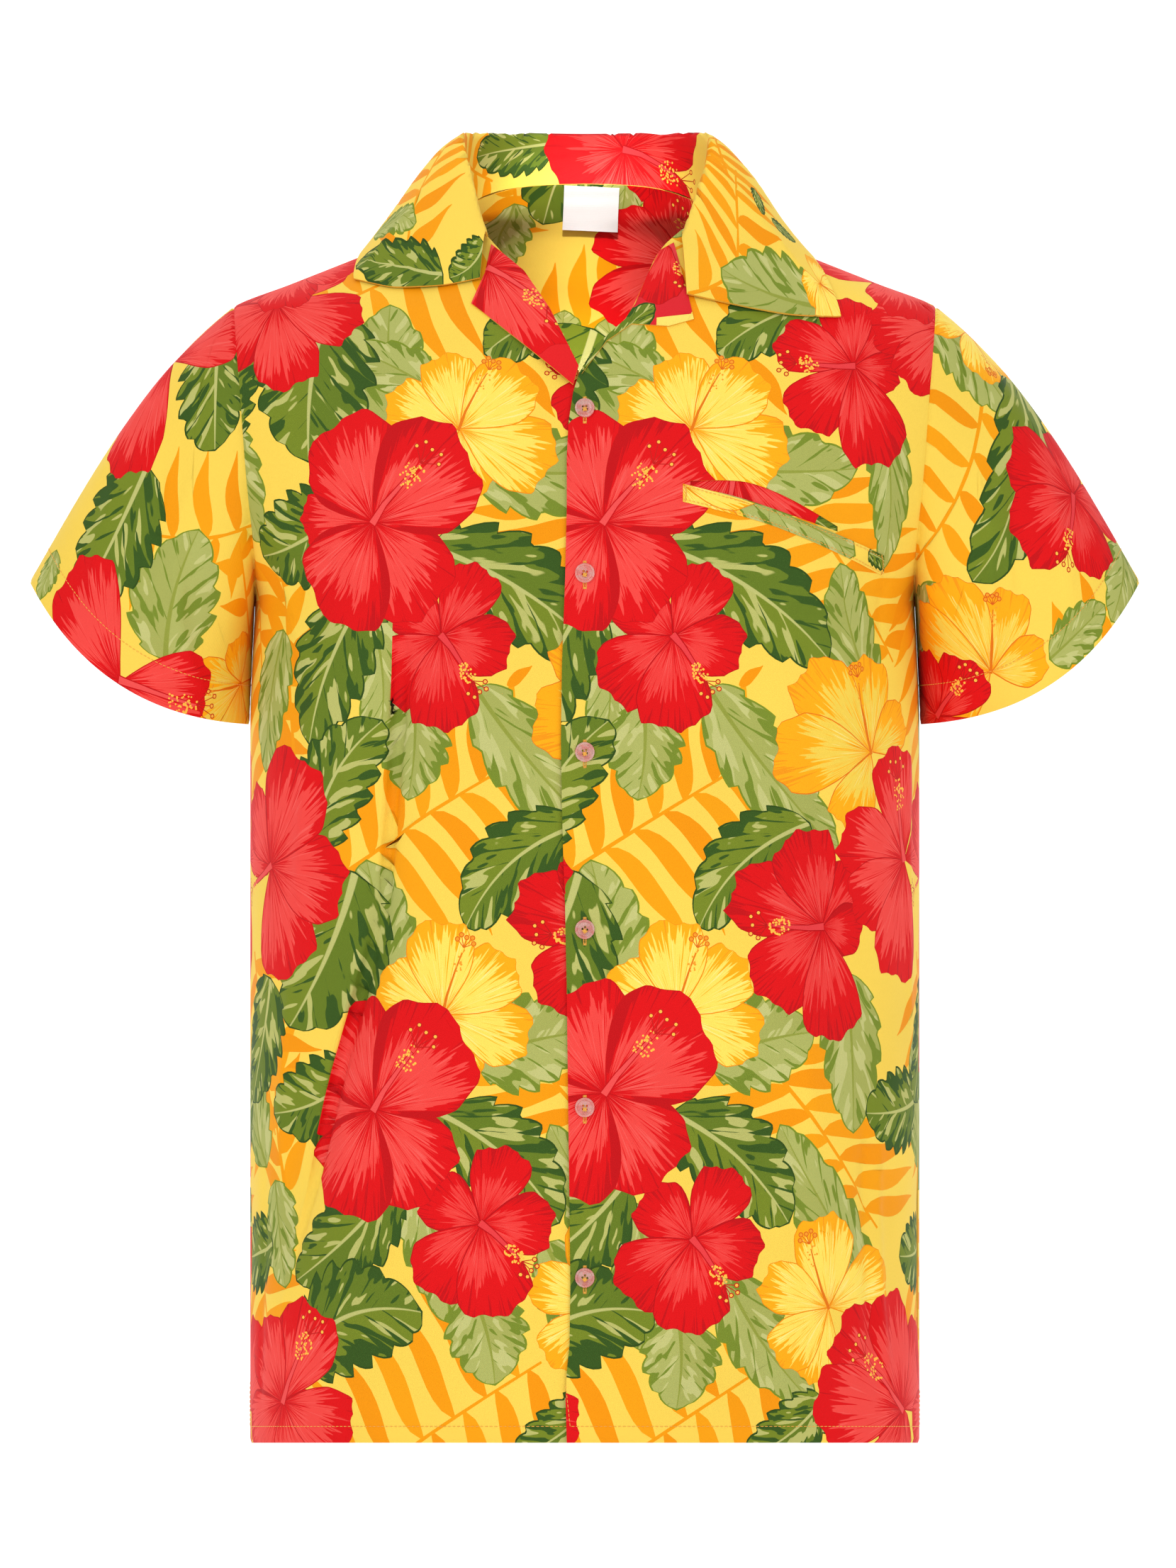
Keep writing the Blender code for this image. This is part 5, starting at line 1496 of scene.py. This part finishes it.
def add_cloth(name, mosaic, surface, finishes, thickness=CLOTH, slot="printed_cloth"):
    """A piece of cloth as a closed thin shell, with its print, its flat map and the sheet's shading."""
    outer, rolled, normals = surface.at(mosaic.points)
    triangles = mosaic.faces
    sides = outer[triangles]
    direction = np.cross(sides[:, 1] - sides[:, 0], sides[:, 2] - sides[:, 0])
    order = [0, 2, 1] if np.sum(np.sum(direction * normals[triangles[:, 0]], axis=1)) < 0 else [0, 1, 2]
    triangles = triangles[:, order]
    corner = 3 * np.arange(len(triangles))[:, None]
    both_ways = [(corner + order).ravel(), (corner + order[::-1]).ravel()]
    points = np.vstack([outer, outer - normals * thickness])
    faces, rim = shell_faces(triangles, len(outer))
    kinds = np.concatenate([mosaic.kinds, mosaic.kinds, np.zeros(len(rim), int)])
    piece = new_piece(f"{name}_cloth", points, faces, finishes, kinds)
    mesh = piece.data
    rim = np.array(rim)
    corners = np.concatenate([triangles.ravel(), (triangles[:, ::-1] + len(outer)).ravel(), rim.ravel()])
    blank = np.zeros((rim.size, 3))
    drawn = np.vstack([*(mosaic.drawn[way] for way in both_ways), blank])
    inks = np.vstack([*(mosaic.inks[way] for way in both_ways), blank + EDGE_INK])
    flat_places = np.vstack([mosaic.points, mosaic.points])[corners] / 100
    mesh.uv_layers.new(name="flat").data.foreach_set("uv", flat_places.astype(np.float32).ravel())
    made = mesh.attributes.new("drawn", "FLOAT_VECTOR", "CORNER")
    made.data.foreach_set("vector", drawn.astype(np.float32).ravel())
    made = mesh.attributes.new("ink", "FLOAT_COLOR", "CORNER")
    made.data.foreach_set("color", np.hstack([inks, np.ones((len(inks), 1))]).astype(np.float32).ravel())
    across = points[rim[:, 2]] - points[rim[:, 0]]
    along = points[rim[:, 3]] - points[rim[:, 1]]
    rim_normals = np.repeat(unit(np.cross(across, along)), 4, axis=0)
    shading = [rolled[triangles.ravel()], -normals[triangles[:, ::-1].ravel()], rim_normals]
    mesh.normals_split_custom_set(np.vstack(shading))
    return declare(piece, slot, name)


def declare_sheet(piece, outline, held, holes=(), **more):
    """Works out what the piece was cut to: its width and length flat, and its area."""
    boxes = [np.ptp(outline @ turned(angle), axis=0) for angle in range(0, 90, 3)]
    area = (abs(flat_area(outline)) - sum(abs(flat_area(hole)) for hole in holes)) * MM * MM


def stitched(surface, line, length=2.3, gap=0.7, radius=0.24, rise=0.16):
    """Thread along a flat line as short rounded stitches: points, faces."""
    line = np.asarray(line, float)
    run = run_length(line)
    count = int(run[-1] // (length + gap))
    starts = (np.arange(count) + 0.2) * (length + gap)
    shares = np.array([0.0, 0.22, 0.78, 1.0])
    wanted = (starts[:, None] + shares * length).ravel()
    flat = np.stack([np.interp(wanted, run, line[:, axis]) for axis in (0, 1)], axis=1)
    points, _, normals = surface.at(flat)
    heights = np.tile(np.array([-0.1, rise, rise, -0.1]), count)
    points = points + normals * heights[:, None]
    return capsules(points.reshape(count, 4, 3), normals.reshape(count, 4, 3), radius)


def capsules(paths, normals, radius, sides=5, taper=(0.35, 1.0, 1.0, 0.35)):
    """Short rounded rods along many small paths at once, as points and faces."""
    direction = unit(np.gradient(paths, axis=1))
    side = unit(np.cross(direction, normals))
    over = np.cross(side, direction)
    turns = 2 * math.pi * np.arange(sides) / sides
    ring = np.cos(turns)[:, None] * side[:, :, None] + np.sin(turns)[:, None] * over[:, :, None]
    points = paths[:, :, None] + ring * radius * np.array(taper)[None, :, None, None]
    count, rings = paths.shape[:2]
    faces = []
    for number in range(count):
        first = number * rings * sides
        for row in range(rings - 1):
            a = first + row * sides
            for k in range(sides):
                after = (k + 1) % sides
                faces.append((a + k, a + after, a + sides + after, a + sides + k))
        faces.append(tuple(first + k for k in reversed(range(sides))))
        last = first + (rings - 1) * sides
        faces.append(tuple(last + k for k in range(sides)))
    return points.reshape(-1, 3), faces


def add_thread(name, parts, finish):
    """One piece of sewing from several runs of stitches."""
    points, faces, start = [], [], 0
    for some, corners in parts:
        points.append(some)
        faces += [tuple(corner + start for corner in face) for face in corners]
        start += len(some)
    piece = new_piece(name, np.vstack(points), faces, [finish])
    return declare(piece, "printed_cloth")


def front_outline(cloth, edge, opening, low, high, hand):
    """One front laid flat: its edge, the hem, the side and shoulder, and its neck opening."""
    hem = hem_run(low, high)
    side = side_run() if hand > 0 else (side_run() * (-1, 1))[::-1]
    runs = [hem, side, opening, edge]
    return outline_on(cloth, np.vstack(runs if hand > 0 else runs[::-1]))


def front_left_outline(cloth):
    edge = dense_open(eased_line(pairs(OVERLAP_EDGE, "x", "level"), 1)[::-1], 8.0)
    opening = dense_open(eased_line(pairs(OPENING_LEFT, "x", "level")), 5.0)[::-1]
    return front_outline(cloth, edge, opening, OVERLAP_EDGE["x"][0], BODY["half_width"][0], 1)


def tucked(points):
    """How far the right front lies below its sheet, under the left one's overlap."""
    return -UNDERLAP_DROP * ease((points[:, 0] + UNDERLAP_BLEND + UNDERLAP) / UNDERLAP_BLEND)


def pleat_rows():
    """Extra places along the deep fold of the right front, where the cloth turns sharply."""
    line = dense_open(eased_line(np.array(DEEP_FOLD), 2), 3.0)
    return [line + left_of(line) * offset for offset in (-7.0, -4.5, -2.5, 1.5, 3.0, 5.0, 8.0)]


def front_right_outline(cloth):
    levels = steps(HEM, OPENING_RIGHT["level"][0], 9.0)[:-1]
    edge = np.stack([np.full_like(levels, UNDERLAP), levels], axis=1)
    opening = dense_open(eased_line(pairs(OPENING_RIGHT, "x", "level")), 5.0)
    return front_outline(cloth, edge, opening, -BODY["half_width"][0], UNDERLAP, -1)


def back_outline(cloth):
    neck = dense_open(eased_line(pairs(BACK_NECKLINE, "x", "level")), 6.0)
    half = np.vstack([side_run(), neck])
    hem = hem_run(-BODY["half_width"][0], BODY["half_width"][0])
    return outline_on(cloth, np.vstack([hem, half, (half * (-1, 1))[::-1][1:]]))


def flat_row(low, high, v, spacing=3.0):
    """Places along a straight row of a sheet."""
    run = steps(low, high, spacing)
    return np.stack([run, np.full_like(run, v)], axis=1)


def ring_outline(cloth, gap, spacing, foot, start, trim):
    """A ring's sheet laid flat: straight along its lower edge, up its ends, and along its upper edge."""
    low, high = cloth.across[0] + gap, cloth.across[-1] - gap
    bottom = flat_row(low, high, foot, spacing[0])
    run = bottom[:, 0]
    right = [(high, v) for v in steps(start, cloth.height_at(high) - gap, spacing[1])[1:-1]]
    top = np.stack([run, cloth.height_at(run) - trim], axis=1)[::-1]
    left = [(low, v) for v in steps(cloth.height_at(low) - gap, start, spacing[1])[1:-1]]
    return np.vstack([bottom, right, top, left])


def make_cloth(name, cloth, outline, printed, finishes, lift=0.0, thickness=CLOTH,
               roll=(EDGE_ROLL, EDGE_ROLL_WIDTH), web=WEB, slot="printed_cloth", **cuts):
    """One piece of cloth on its sheet: the object, its flat outline and its outer surface."""
    mosaic = Mosaic(outline, printed, web, **cuts)
    surface = Surface(cloth, lift, [outline, *cuts.get("holes", ())], roll)
    return add_cloth(name, mosaic, surface, finishes, thickness, slot), outline, surface


class LaidPrint:
    """Shapes laid on a piece in its own flat places, without a repeat."""

    def __init__(self, shapes):
        self.shapes = shapes

    def over(self, low, high):
        return self.shapes.moved(np.eye(2), np.zeros(2), low, high)


def collar_print(cloth):
    """The collar's cloth: where each motif's base and tip are seen on a fall or on the stand."""
    line = np.arange(COLLAR_LINES)[:, None] / COLLAR_LINES
    faced = cloth.normals[..., 1]
    parts = {"fall": (line > 0.3) & (faced < 0), "back": (line > 0.3) & (faced > 0), "stand": line < 0.26}
    shapes = Shapes()

    def place(x, level, part):
        return cloth.find(x, level, parts[part])

    for number, row in enumerate(COLLAR_FRONDS):
        part, x, y, tip_x, tip_y, *rest = row
        add_frond(shapes, number, (*place(x, y, part), *place(tip_x, tip_y, part), *rest), COLLAR_BLADE)
    for number, row in enumerate(COLLAR_LEAVES):
        part, kind, x, y, tip_x, tip_y, width, bow = row
        add_leaf(shapes, number, (kind, *place(x, y, part), *place(tip_x, tip_y, part), width, bow))
    for number, row in enumerate(COLLAR_FLOWERS):
        part, kind, bloom, x, y, turn, size = row
        add_flower(shapes, number, (kind, bloom, *place(x, y, part), turn, size))
    return LaidPrint(shapes)


def deepen_fold(cloth):
    """The right front's deep fold: along one line, the cloth at the side lies over the middle."""
    line = eased_line(np.array(DEEP_FOLD), 3)
    u, v = np.meshgrid(cloth.across, cloth.ups)
    at = np.interp(v, line[::-1, 1], line[::-1, 0])
    gap = u - at
    fade = ease((v - DEEP_FOLD[-1][1] + 12) / 90) * ease((DEEP_FOLD[0][1] + 8 - v) / 40)
    lip = 1.4 * np.exp(-((gap + 6.0) ** 2) / 36)
    drop = -3.6 * np.exp(-np.maximum(gap - 3, 0) / 12) * ease((gap + 3.0) / 7.0)
    cloth.points = cloth.points + cloth.normals * ((lip + drop) * fade)[..., None]
    cloth.normals = facing_out(cloth.points, BODY_MIDDLE)


def cylinder(sides, radius, height, place):
    bpy.ops.mesh.primitive_cylinder_add(
        vertices=sides, radius=radius * MM, depth=height * MM, location=[part * MM for part in place]
    )
    return bpy.context.object


def make_button(name, cloth, level, finish, turn, thread):
    """A turned four-hole button: a dished disc with a rounded rim, drilled holes and a cross of thread."""
    point, normal = cloth.at(cloth.flat(BUTTON_X, level))
    point, normal = point[0], Vector(normal[0])
    bpy.ops.object.select_all(action="DESELECT")
    button = cylinder(48, BUTTON_RADIUS, BUTTON_HEIGHT, (0, 0, BUTTON_HEIGHT / 2))
    button.name = button.data.name = f"{name}_turned"
    bpy.ops.object.mode_set(mode="EDIT")
    bpy.ops.mesh.select_mode(type="FACE")
    for way, insets in ((1, BUTTON_FRONT), (-1, BUTTON_BACK)):
        select_faces(button, lambda face: face.normal.z * way > 0.9)
        for inwards, depth in insets:
            bpy.ops.mesh.inset(thickness=inwards * MM, depth=depth * MM)
    bpy.ops.object.mode_set(mode="OBJECT")
    rounding = button.modifiers.new("rounding", "BEVEL")
    rounding.width = BUTTON_ROUNDING * MM
    rounding.segments = 3
    rounding.limit_method = "ANGLE"
    rounding.angle_limit = math.radians(28)
    bpy.ops.object.modifier_apply(modifier=rounding.name)
    for number in range(4):
        angle = math.pi / 4 + number * math.pi / 2
        place = (BUTTON_HOLE_SPREAD * math.cos(angle), BUTTON_HOLE_SPREAD * math.sin(angle), 0)
        drill = cylinder(20, BUTTON_HOLE_RADIUS, 4 * BUTTON_HEIGHT, place)
        hole = button.modifiers.new("hole", "BOOLEAN")
        hole.operation = "DIFFERENCE"
        hole.object = drill
        bpy.context.view_layer.objects.active = button
        bpy.ops.object.modifier_apply(modifier=hole.name)
        bpy.data.objects.remove(drill)
    button.data.shade_smooth()
    button.data.set_sharp_from_angle(angle=math.radians(35))
    button.data.materials.clear()
    button.data.materials.append(finish)
    place = placed_on(point, normal, turn)
    button.data.transform(place)
    declare(button, "button_resin", name)
    return sewn_cross(f"{name}_thread", place, thread)


def placed_on(point, normal, turn):
    """The matrix that seats a button on the cloth, turned about its own middle."""
    seat = Vector(point * MM) + normal * BUTTON_SEAT * MM
    upright = Vector((0, 0, 1)).rotation_difference(normal).to_matrix().to_4x4()
    return Matrix.Translation(seat) @ upright @ Matrix.Rotation(turn, 4, "Z")


def select_faces(piece, wanted):
    """In edit mode, selects the faces that a test names, and no others."""
    bpy.ops.mesh.select_all(action="DESELECT")
    bpy.ops.object.mode_set(mode="OBJECT")
    for face in piece.data.polygons:
        face.select = bool(wanted(face))
    bpy.ops.object.mode_set(mode="EDIT")


def sewn_cross(name, place, thread):
    """Two strands of thread that cross between a button's holes, and dip into them."""
    spread = BUTTON_HOLE_SPREAD
    paths = []
    for angle in (math.pi / 4, 3 * math.pi / 4):
        for offset in (-CROSS_OFFSET, CROSS_OFFSET):
            way = np.array([math.cos(angle), math.sin(angle), 0])
            side = np.array([-math.sin(angle), math.cos(angle), 0]) * offset
            paths.append([way * spread * share + side + (0, 0, height) for share, height in CROSS_PROFILE])
    paths = np.array(paths)
    normals = np.broadcast_to((0.0, 0.0, 1.0), paths.shape) + 1e-3
    points, faces = capsules(paths, normals, CROSS_THREAD, 6, (0.8, 1, 1, 1, 1, 0.8))
    piece = new_piece(name, points, faces, [thread])
    piece.data.transform(place)
    return declare(piece, "printed_cloth")


def buttonhole(surface, cloth, level):
    """The edge of a buttonhole: close small stitches in two rows, and a bar at each end."""
    half = BUTTONHOLE / 2
    centre = cloth.flat(BUTTON_X, level)[0]
    paths = []
    for row in (-1, 1):
        for v in np.arange(-half, half + 0.01, 0.62):
            paths.append([(row * out, v + up) for out, up in BUTTONHOLE_STITCH])
    for end in (-1, 1):
        for step in np.arange(3):
            v = end * (half + 0.25 + 0.45 * step)
            paths.append([(-1.3, v), (-0.5, v), (0.5, v), (1.3, v)])
    flat = np.array(paths) + centre
    points, _, normals = surface.at(flat.reshape(-1, 2))
    raised = points + normals * np.tile((0.0, 0.24, 0.2, -0.05), len(paths))[:, None]
    return capsules(raised.reshape(-1, 4, 3), normals.reshape(-1, 4, 3), 0.24)


def main():
    finishes, thread = printed_finishes(), thread_finish()
    front_l, front_r = (BodyCloth(-1, FRONT_FOLDS, FRONT_CREASES) for _ in range(2))
    deepen_fold(front_r)
    back = BodyCloth(1, BACK_FOLDS, BACK_CREASES)
    sleeve_l, sleeve_r = (sleeve_cloth(hand, SLEEVE_CREASES) for hand in (1, -1))
    collar = collar_cloth(COLLAR_CREASES)
    collar_outline = ring_outline(collar, SEAM_GAP, (4.0, 4.0), -COLLAR_TUCK, SEAM_GAP, SEAM_GAP)
    mouth = anticlockwise(front_l.flat(*band(POCKET_MOUTH).T))
    made = {}

    def make(name, cloth, outline, printed, finishes=finishes, *build, **cuts):
        made[name] = make_cloth(name, cloth, outline, printed, finishes, *build, **cuts)

    make("front_left", front_l, front_left_outline(front_l), Print(print_repeat()), holes=(mouth,))
    printed = Print(print_repeat(RIGHT_LEAVES, RIGHT_FLOWERS), shift=RIGHT_SHIFT)
    fold = (dense_open(eased_line(np.array(DEEP_FOLD), 2), 6.0), HIDDEN_AT_FOLD)
    outline = front_right_outline(front_r)
    make("front_right", front_r, outline, printed, lift=tucked, extra=pleat_rows(), fold=fold)
    printed = Print(print_repeat(BACK_LEAVES, BACK_FLOWERS), BACK_MIRROR, BACK_SHIFT)
    make("back", back, back_outline(back), printed, web=BACK_WEB)
    for name, cloth, hand, motifs in (
        ("sleeve_left", sleeve_l, 1, LEFT_SLEEVE_PRINT),
        ("sleeve_right", sleeve_r, -1, RIGHT_SLEEVE_PRINT),
    ):
        gap = 0.6 * SEAM_GAP
        outline = ring_outline(cloth, gap, (5.0, 6.0), 0, 0, 2 * gap)
        make(name, cloth, outline, sleeve_print(cloth, hand, motifs))
    make("collar", collar, collar_outline, collar_print(collar), finishes, *COLLAR_BUILD)
    for name, cloth, outline, motifs, build in (
        ("facing_left", front_l, pairs(LAPEL_LEFT, "x", "level"), FACING_LEFT, LAPEL_BUILD),
        ("facing_right", front_r, pairs(LAPEL_RIGHT, "x", "level"), FACING_RIGHT, LAPEL_BUILD),
        ("pocket_welt", front_l, band(POCKET_WELT), WELT_PRINT, WELT_BUILD),
    ):
        outline = dense(anticlockwise(cloth.flat(*outline.T)), 3.0)
        make(name, cloth, outline, laid_on(motifs, seen_on(cloth)), finishes, *build)
    outline = pulled_in(mouth, -POCKET_FACING_REACH)
    printed = laid_on(POCKET_PRINT, seen_on(front_l))
    make("pocket_facing", front_l, outline, printed, finishes, *POCKET_FACING_BUILD)
    make("neck_label", back, label_outline(back), None, [label_finish()], *LABEL_BUILD, slot="label_cloth")

    add_sewing(made, front_l, collar, thread)
    resin = resin_finish()
    for number, level in enumerate(BUTTON_LEVELS):
        make_button(f"button_{number + 1}", front_l, level, resin, BUTTON_TURNS[number], thread)
    for name, (piece, outline, surface) in made.items():
        more = {"rests_on": []} if name == "front_left" else {}
        declare_sheet(piece, outline, "folded" if name in FOLDED else "draped", surface.loops[1:], **more)
    set_stage()


def laid_on(motifs, place, turn_at=lambda x, level: 0.0, blade=SMALL_BLADE):
    """Motifs given by the x and level at which they are seen, and laid where a sheet has those places."""
    shapes = Shapes()
    for number, (kind, *row) in enumerate(motifs):
        if kind == "ground":
            corners = [place(*corner) for corner in row[1]]
            shapes.add(anticlockwise(np.array(corners)), 0, INK, tint(row[0]))
        elif kind in LEAF_LOOKS:
            add_leaf(shapes, number, (kind, *place(*row[:2]), *place(*row[2:4]), *row[4:]))
        elif kind == "frond":
            add_frond(shapes, number, (*place(*row[:2]), *place(*row[2:4]), *row[4:]), blade)
        else:
            bloom, x, level, turn, size = row
            add_flower(shapes, number, (kind, bloom, *place(x, level), turn + turn_at(x, level), size))
    return LaidPrint(shapes)


def seen_on(cloth):
    """Where a front's sheet has the place seen at x on a level."""
    return lambda x, level: cloth.flat(x, level)[0]


def sleeve_print(cloth, hand, motifs):
    """A sleeve's print: the motifs seen from the front, and the repeat on the half behind."""
    middle = np.array(SLEEVE_MIDDLE) * (hand, 1)

    def turn_at(x, level):
        towards = middle - (x, level)
        step = middle - towards * 0.75
        on_sheet = cloth.find(*step) - cloth.find(x, level)
        seen = step - (x, level)
        return math.degrees(math.atan2(on_sheet[1], on_sheet[0]) - math.atan2(seen[1], seen[0]))

    front = laid_on(motifs, cloth.find, turn_at, SLEEVE_BLADE)
    behind = Print(print_repeat(), turned(-SLEEVE_TURN * hand), np.array(SLEEVE_SHIFT) * (hand, 1))
    return SplitPrint(front, behind, -hand)


class SplitPrint:
    """One print on one side of a sheet's middle, with another on the other side."""

    def __init__(self, main, other, side):
        self.main, self.other, self.side = main, other, side

    def over(self, low, high):
        kept = [shape for shape in self.other.over(low, high) if shape[1].mean(axis=0)[0] * self.side < -20]
        return kept + [((layer + 1000, order), *rest) for (layer, order), *rest in self.main.over(low, high)]


def label_outline(cloth):
    """The neck label, a tape sewn along its upper edge, laid flat on the back's sheet."""
    corners = np.array([(-1, -1), (1, -1), (1, 1), (-1, 1)]) * np.array(LABEL_SIZE) / 2
    outline = dense(corners @ turned(-LABEL_TILT).T + LABEL_CENTRE, 3.0)
    return anticlockwise(cloth.flat(*outline.T))


def hem_line(outline, low, high):
    """The hem's stitch line between two places, along the hem's edge."""
    bottom = outline[outline[:, 1] < outline[:, 1].min() + 40]
    bottom = bottom[np.argsort(bottom[:, 0])]
    u = steps(low, high, 3.0)
    return np.stack([u, np.interp(u, bottom[:, 0], bottom[:, 1]) + HEM_STITCH], axis=1)


def add_sewing(made, front, collar, thread):
    """The hems, cuffs, buttonholes, pocket's welt and collar's seam, each as one piece of thread."""
    runs = []
    for name in ("front_left", "front_right", "back"):
        _, outline, surface = made[name]
        low, high = outline[:, 0].min() + 3, outline[:, 0].max() - 3
        runs.append(stitched(surface, hem_line(outline, low, high)))
    add_thread("hem_stitches", runs, thread)
    for hand in ("left", "right"):
        _, outline, surface = made[f"sleeve_{hand}"]
        line = flat_row(outline[:, 0].min() + 2, outline[:, 0].max() - 2, CUFF_STITCH)
        add_thread(f"cuff_stitches_{hand}", [stitched(surface, line)], thread)
    holes = [buttonhole(made["front_left"][2], front, level) for level in BUTTON_LEVELS]
    add_thread("buttonhole_stitches", holes, thread)
    welt = made["pocket_welt"][2]
    runs = []
    for name, rise in (("upper_level", -1.6), ("lower_level", 1.6)):
        line = front.flat(*eased_line(pairs(POCKET_WELT, "x", name)).T) + (0, rise)
        runs.append(stitched(welt, line, 2.0, 0.8, 0.22))
    for x in WELT_ENDS:
        names = ("upper_level", "lower_level")
        high, low = (np.interp(x, POCKET_WELT["x"], POCKET_WELT[name]) for name in names)
        ends = front.flat([x, x + 0.6, x], [high, (high + low) / 2, low])
        runs.append(stitched(welt, ends, 1.3, 0.1, 0.3))
    add_thread("pocket_stitches", runs, thread)
    line = flat_row(collar.across[0] + 90, collar.across[-1] - 90, COLLAR_STITCH)
    inside = Surface(collar, lift=-COLLAR_CLOTH / 2 - 0.2)
    add_thread("collar_seam_stitches", [stitched(inside, line, 2.2, 0.8, 0.22, -0.1)], thread)


def add_light(name, size, power, spread, place, towards):
    data = bpy.data.lights.new(name, "AREA")
    data.shape = "RECTANGLE"
    data.size, data.size_y = size
    data.energy = power
    data.spread = math.radians(spread)
    light = bpy.data.objects.new(name, data)
    light.location = place
    light.rotation_euler = (Vector(towards) - Vector(place)).to_track_quat("-Z", "Y").to_euler()
    bpy.context.scene.collection.objects.link(light)


def set_stage():
    """A white sweep behind and below, soft light from the front and above, and the camera in front."""
    bend = SWEEP_BEND
    profile = [(SWEEP_FRONT, FLOOR)]
    for t in np.linspace(0, math.pi / 2, 17):
        profile.append((SWEEP_BACK + bend * math.sin(t), FLOOR + bend - bend * math.cos(t)))
    profile.append((SWEEP_BACK + bend, SWEEP_TOP))
    points = [(x, y, z) for x in (-SWEEP_HALF, SWEEP_HALF) for y, z in profile]
    count = len(profile)
    faces = [(k, count + k, count + k + 1, k + 1) for k in range(count - 1)]
    floor = new_piece("studio_sweep", points, faces, [stage_finish()])
    for row in LIGHTS:
        add_light(*row)
    world = bpy.data.worlds.new("studio")
    world.use_nodes = True
    sky = world.node_tree.nodes["Background"].inputs
    sky["Color"].default_value = (1.0, 1.0, 1.0, 1)
    sky["Strength"].default_value = WORLD_LIGHT
    scene = bpy.context.scene
    scene.world = world
    scene.view_settings.view_transform = "Standard"
    data = bpy.data.cameras.new("front_camera")
    data.sensor_fit = "VERTICAL"
    data.type = "ORTHO"
    data.ortho_scale = VIEW_HEIGHT * MM
    camera = bpy.data.objects.new("front_camera", data)
    camera.location = [part * MM for part in CAMERA_PLACE]
    camera.rotation_euler = (math.pi / 2, 0, 0)
    scene.collection.objects.link(camera)
    scene.camera = camera


main()
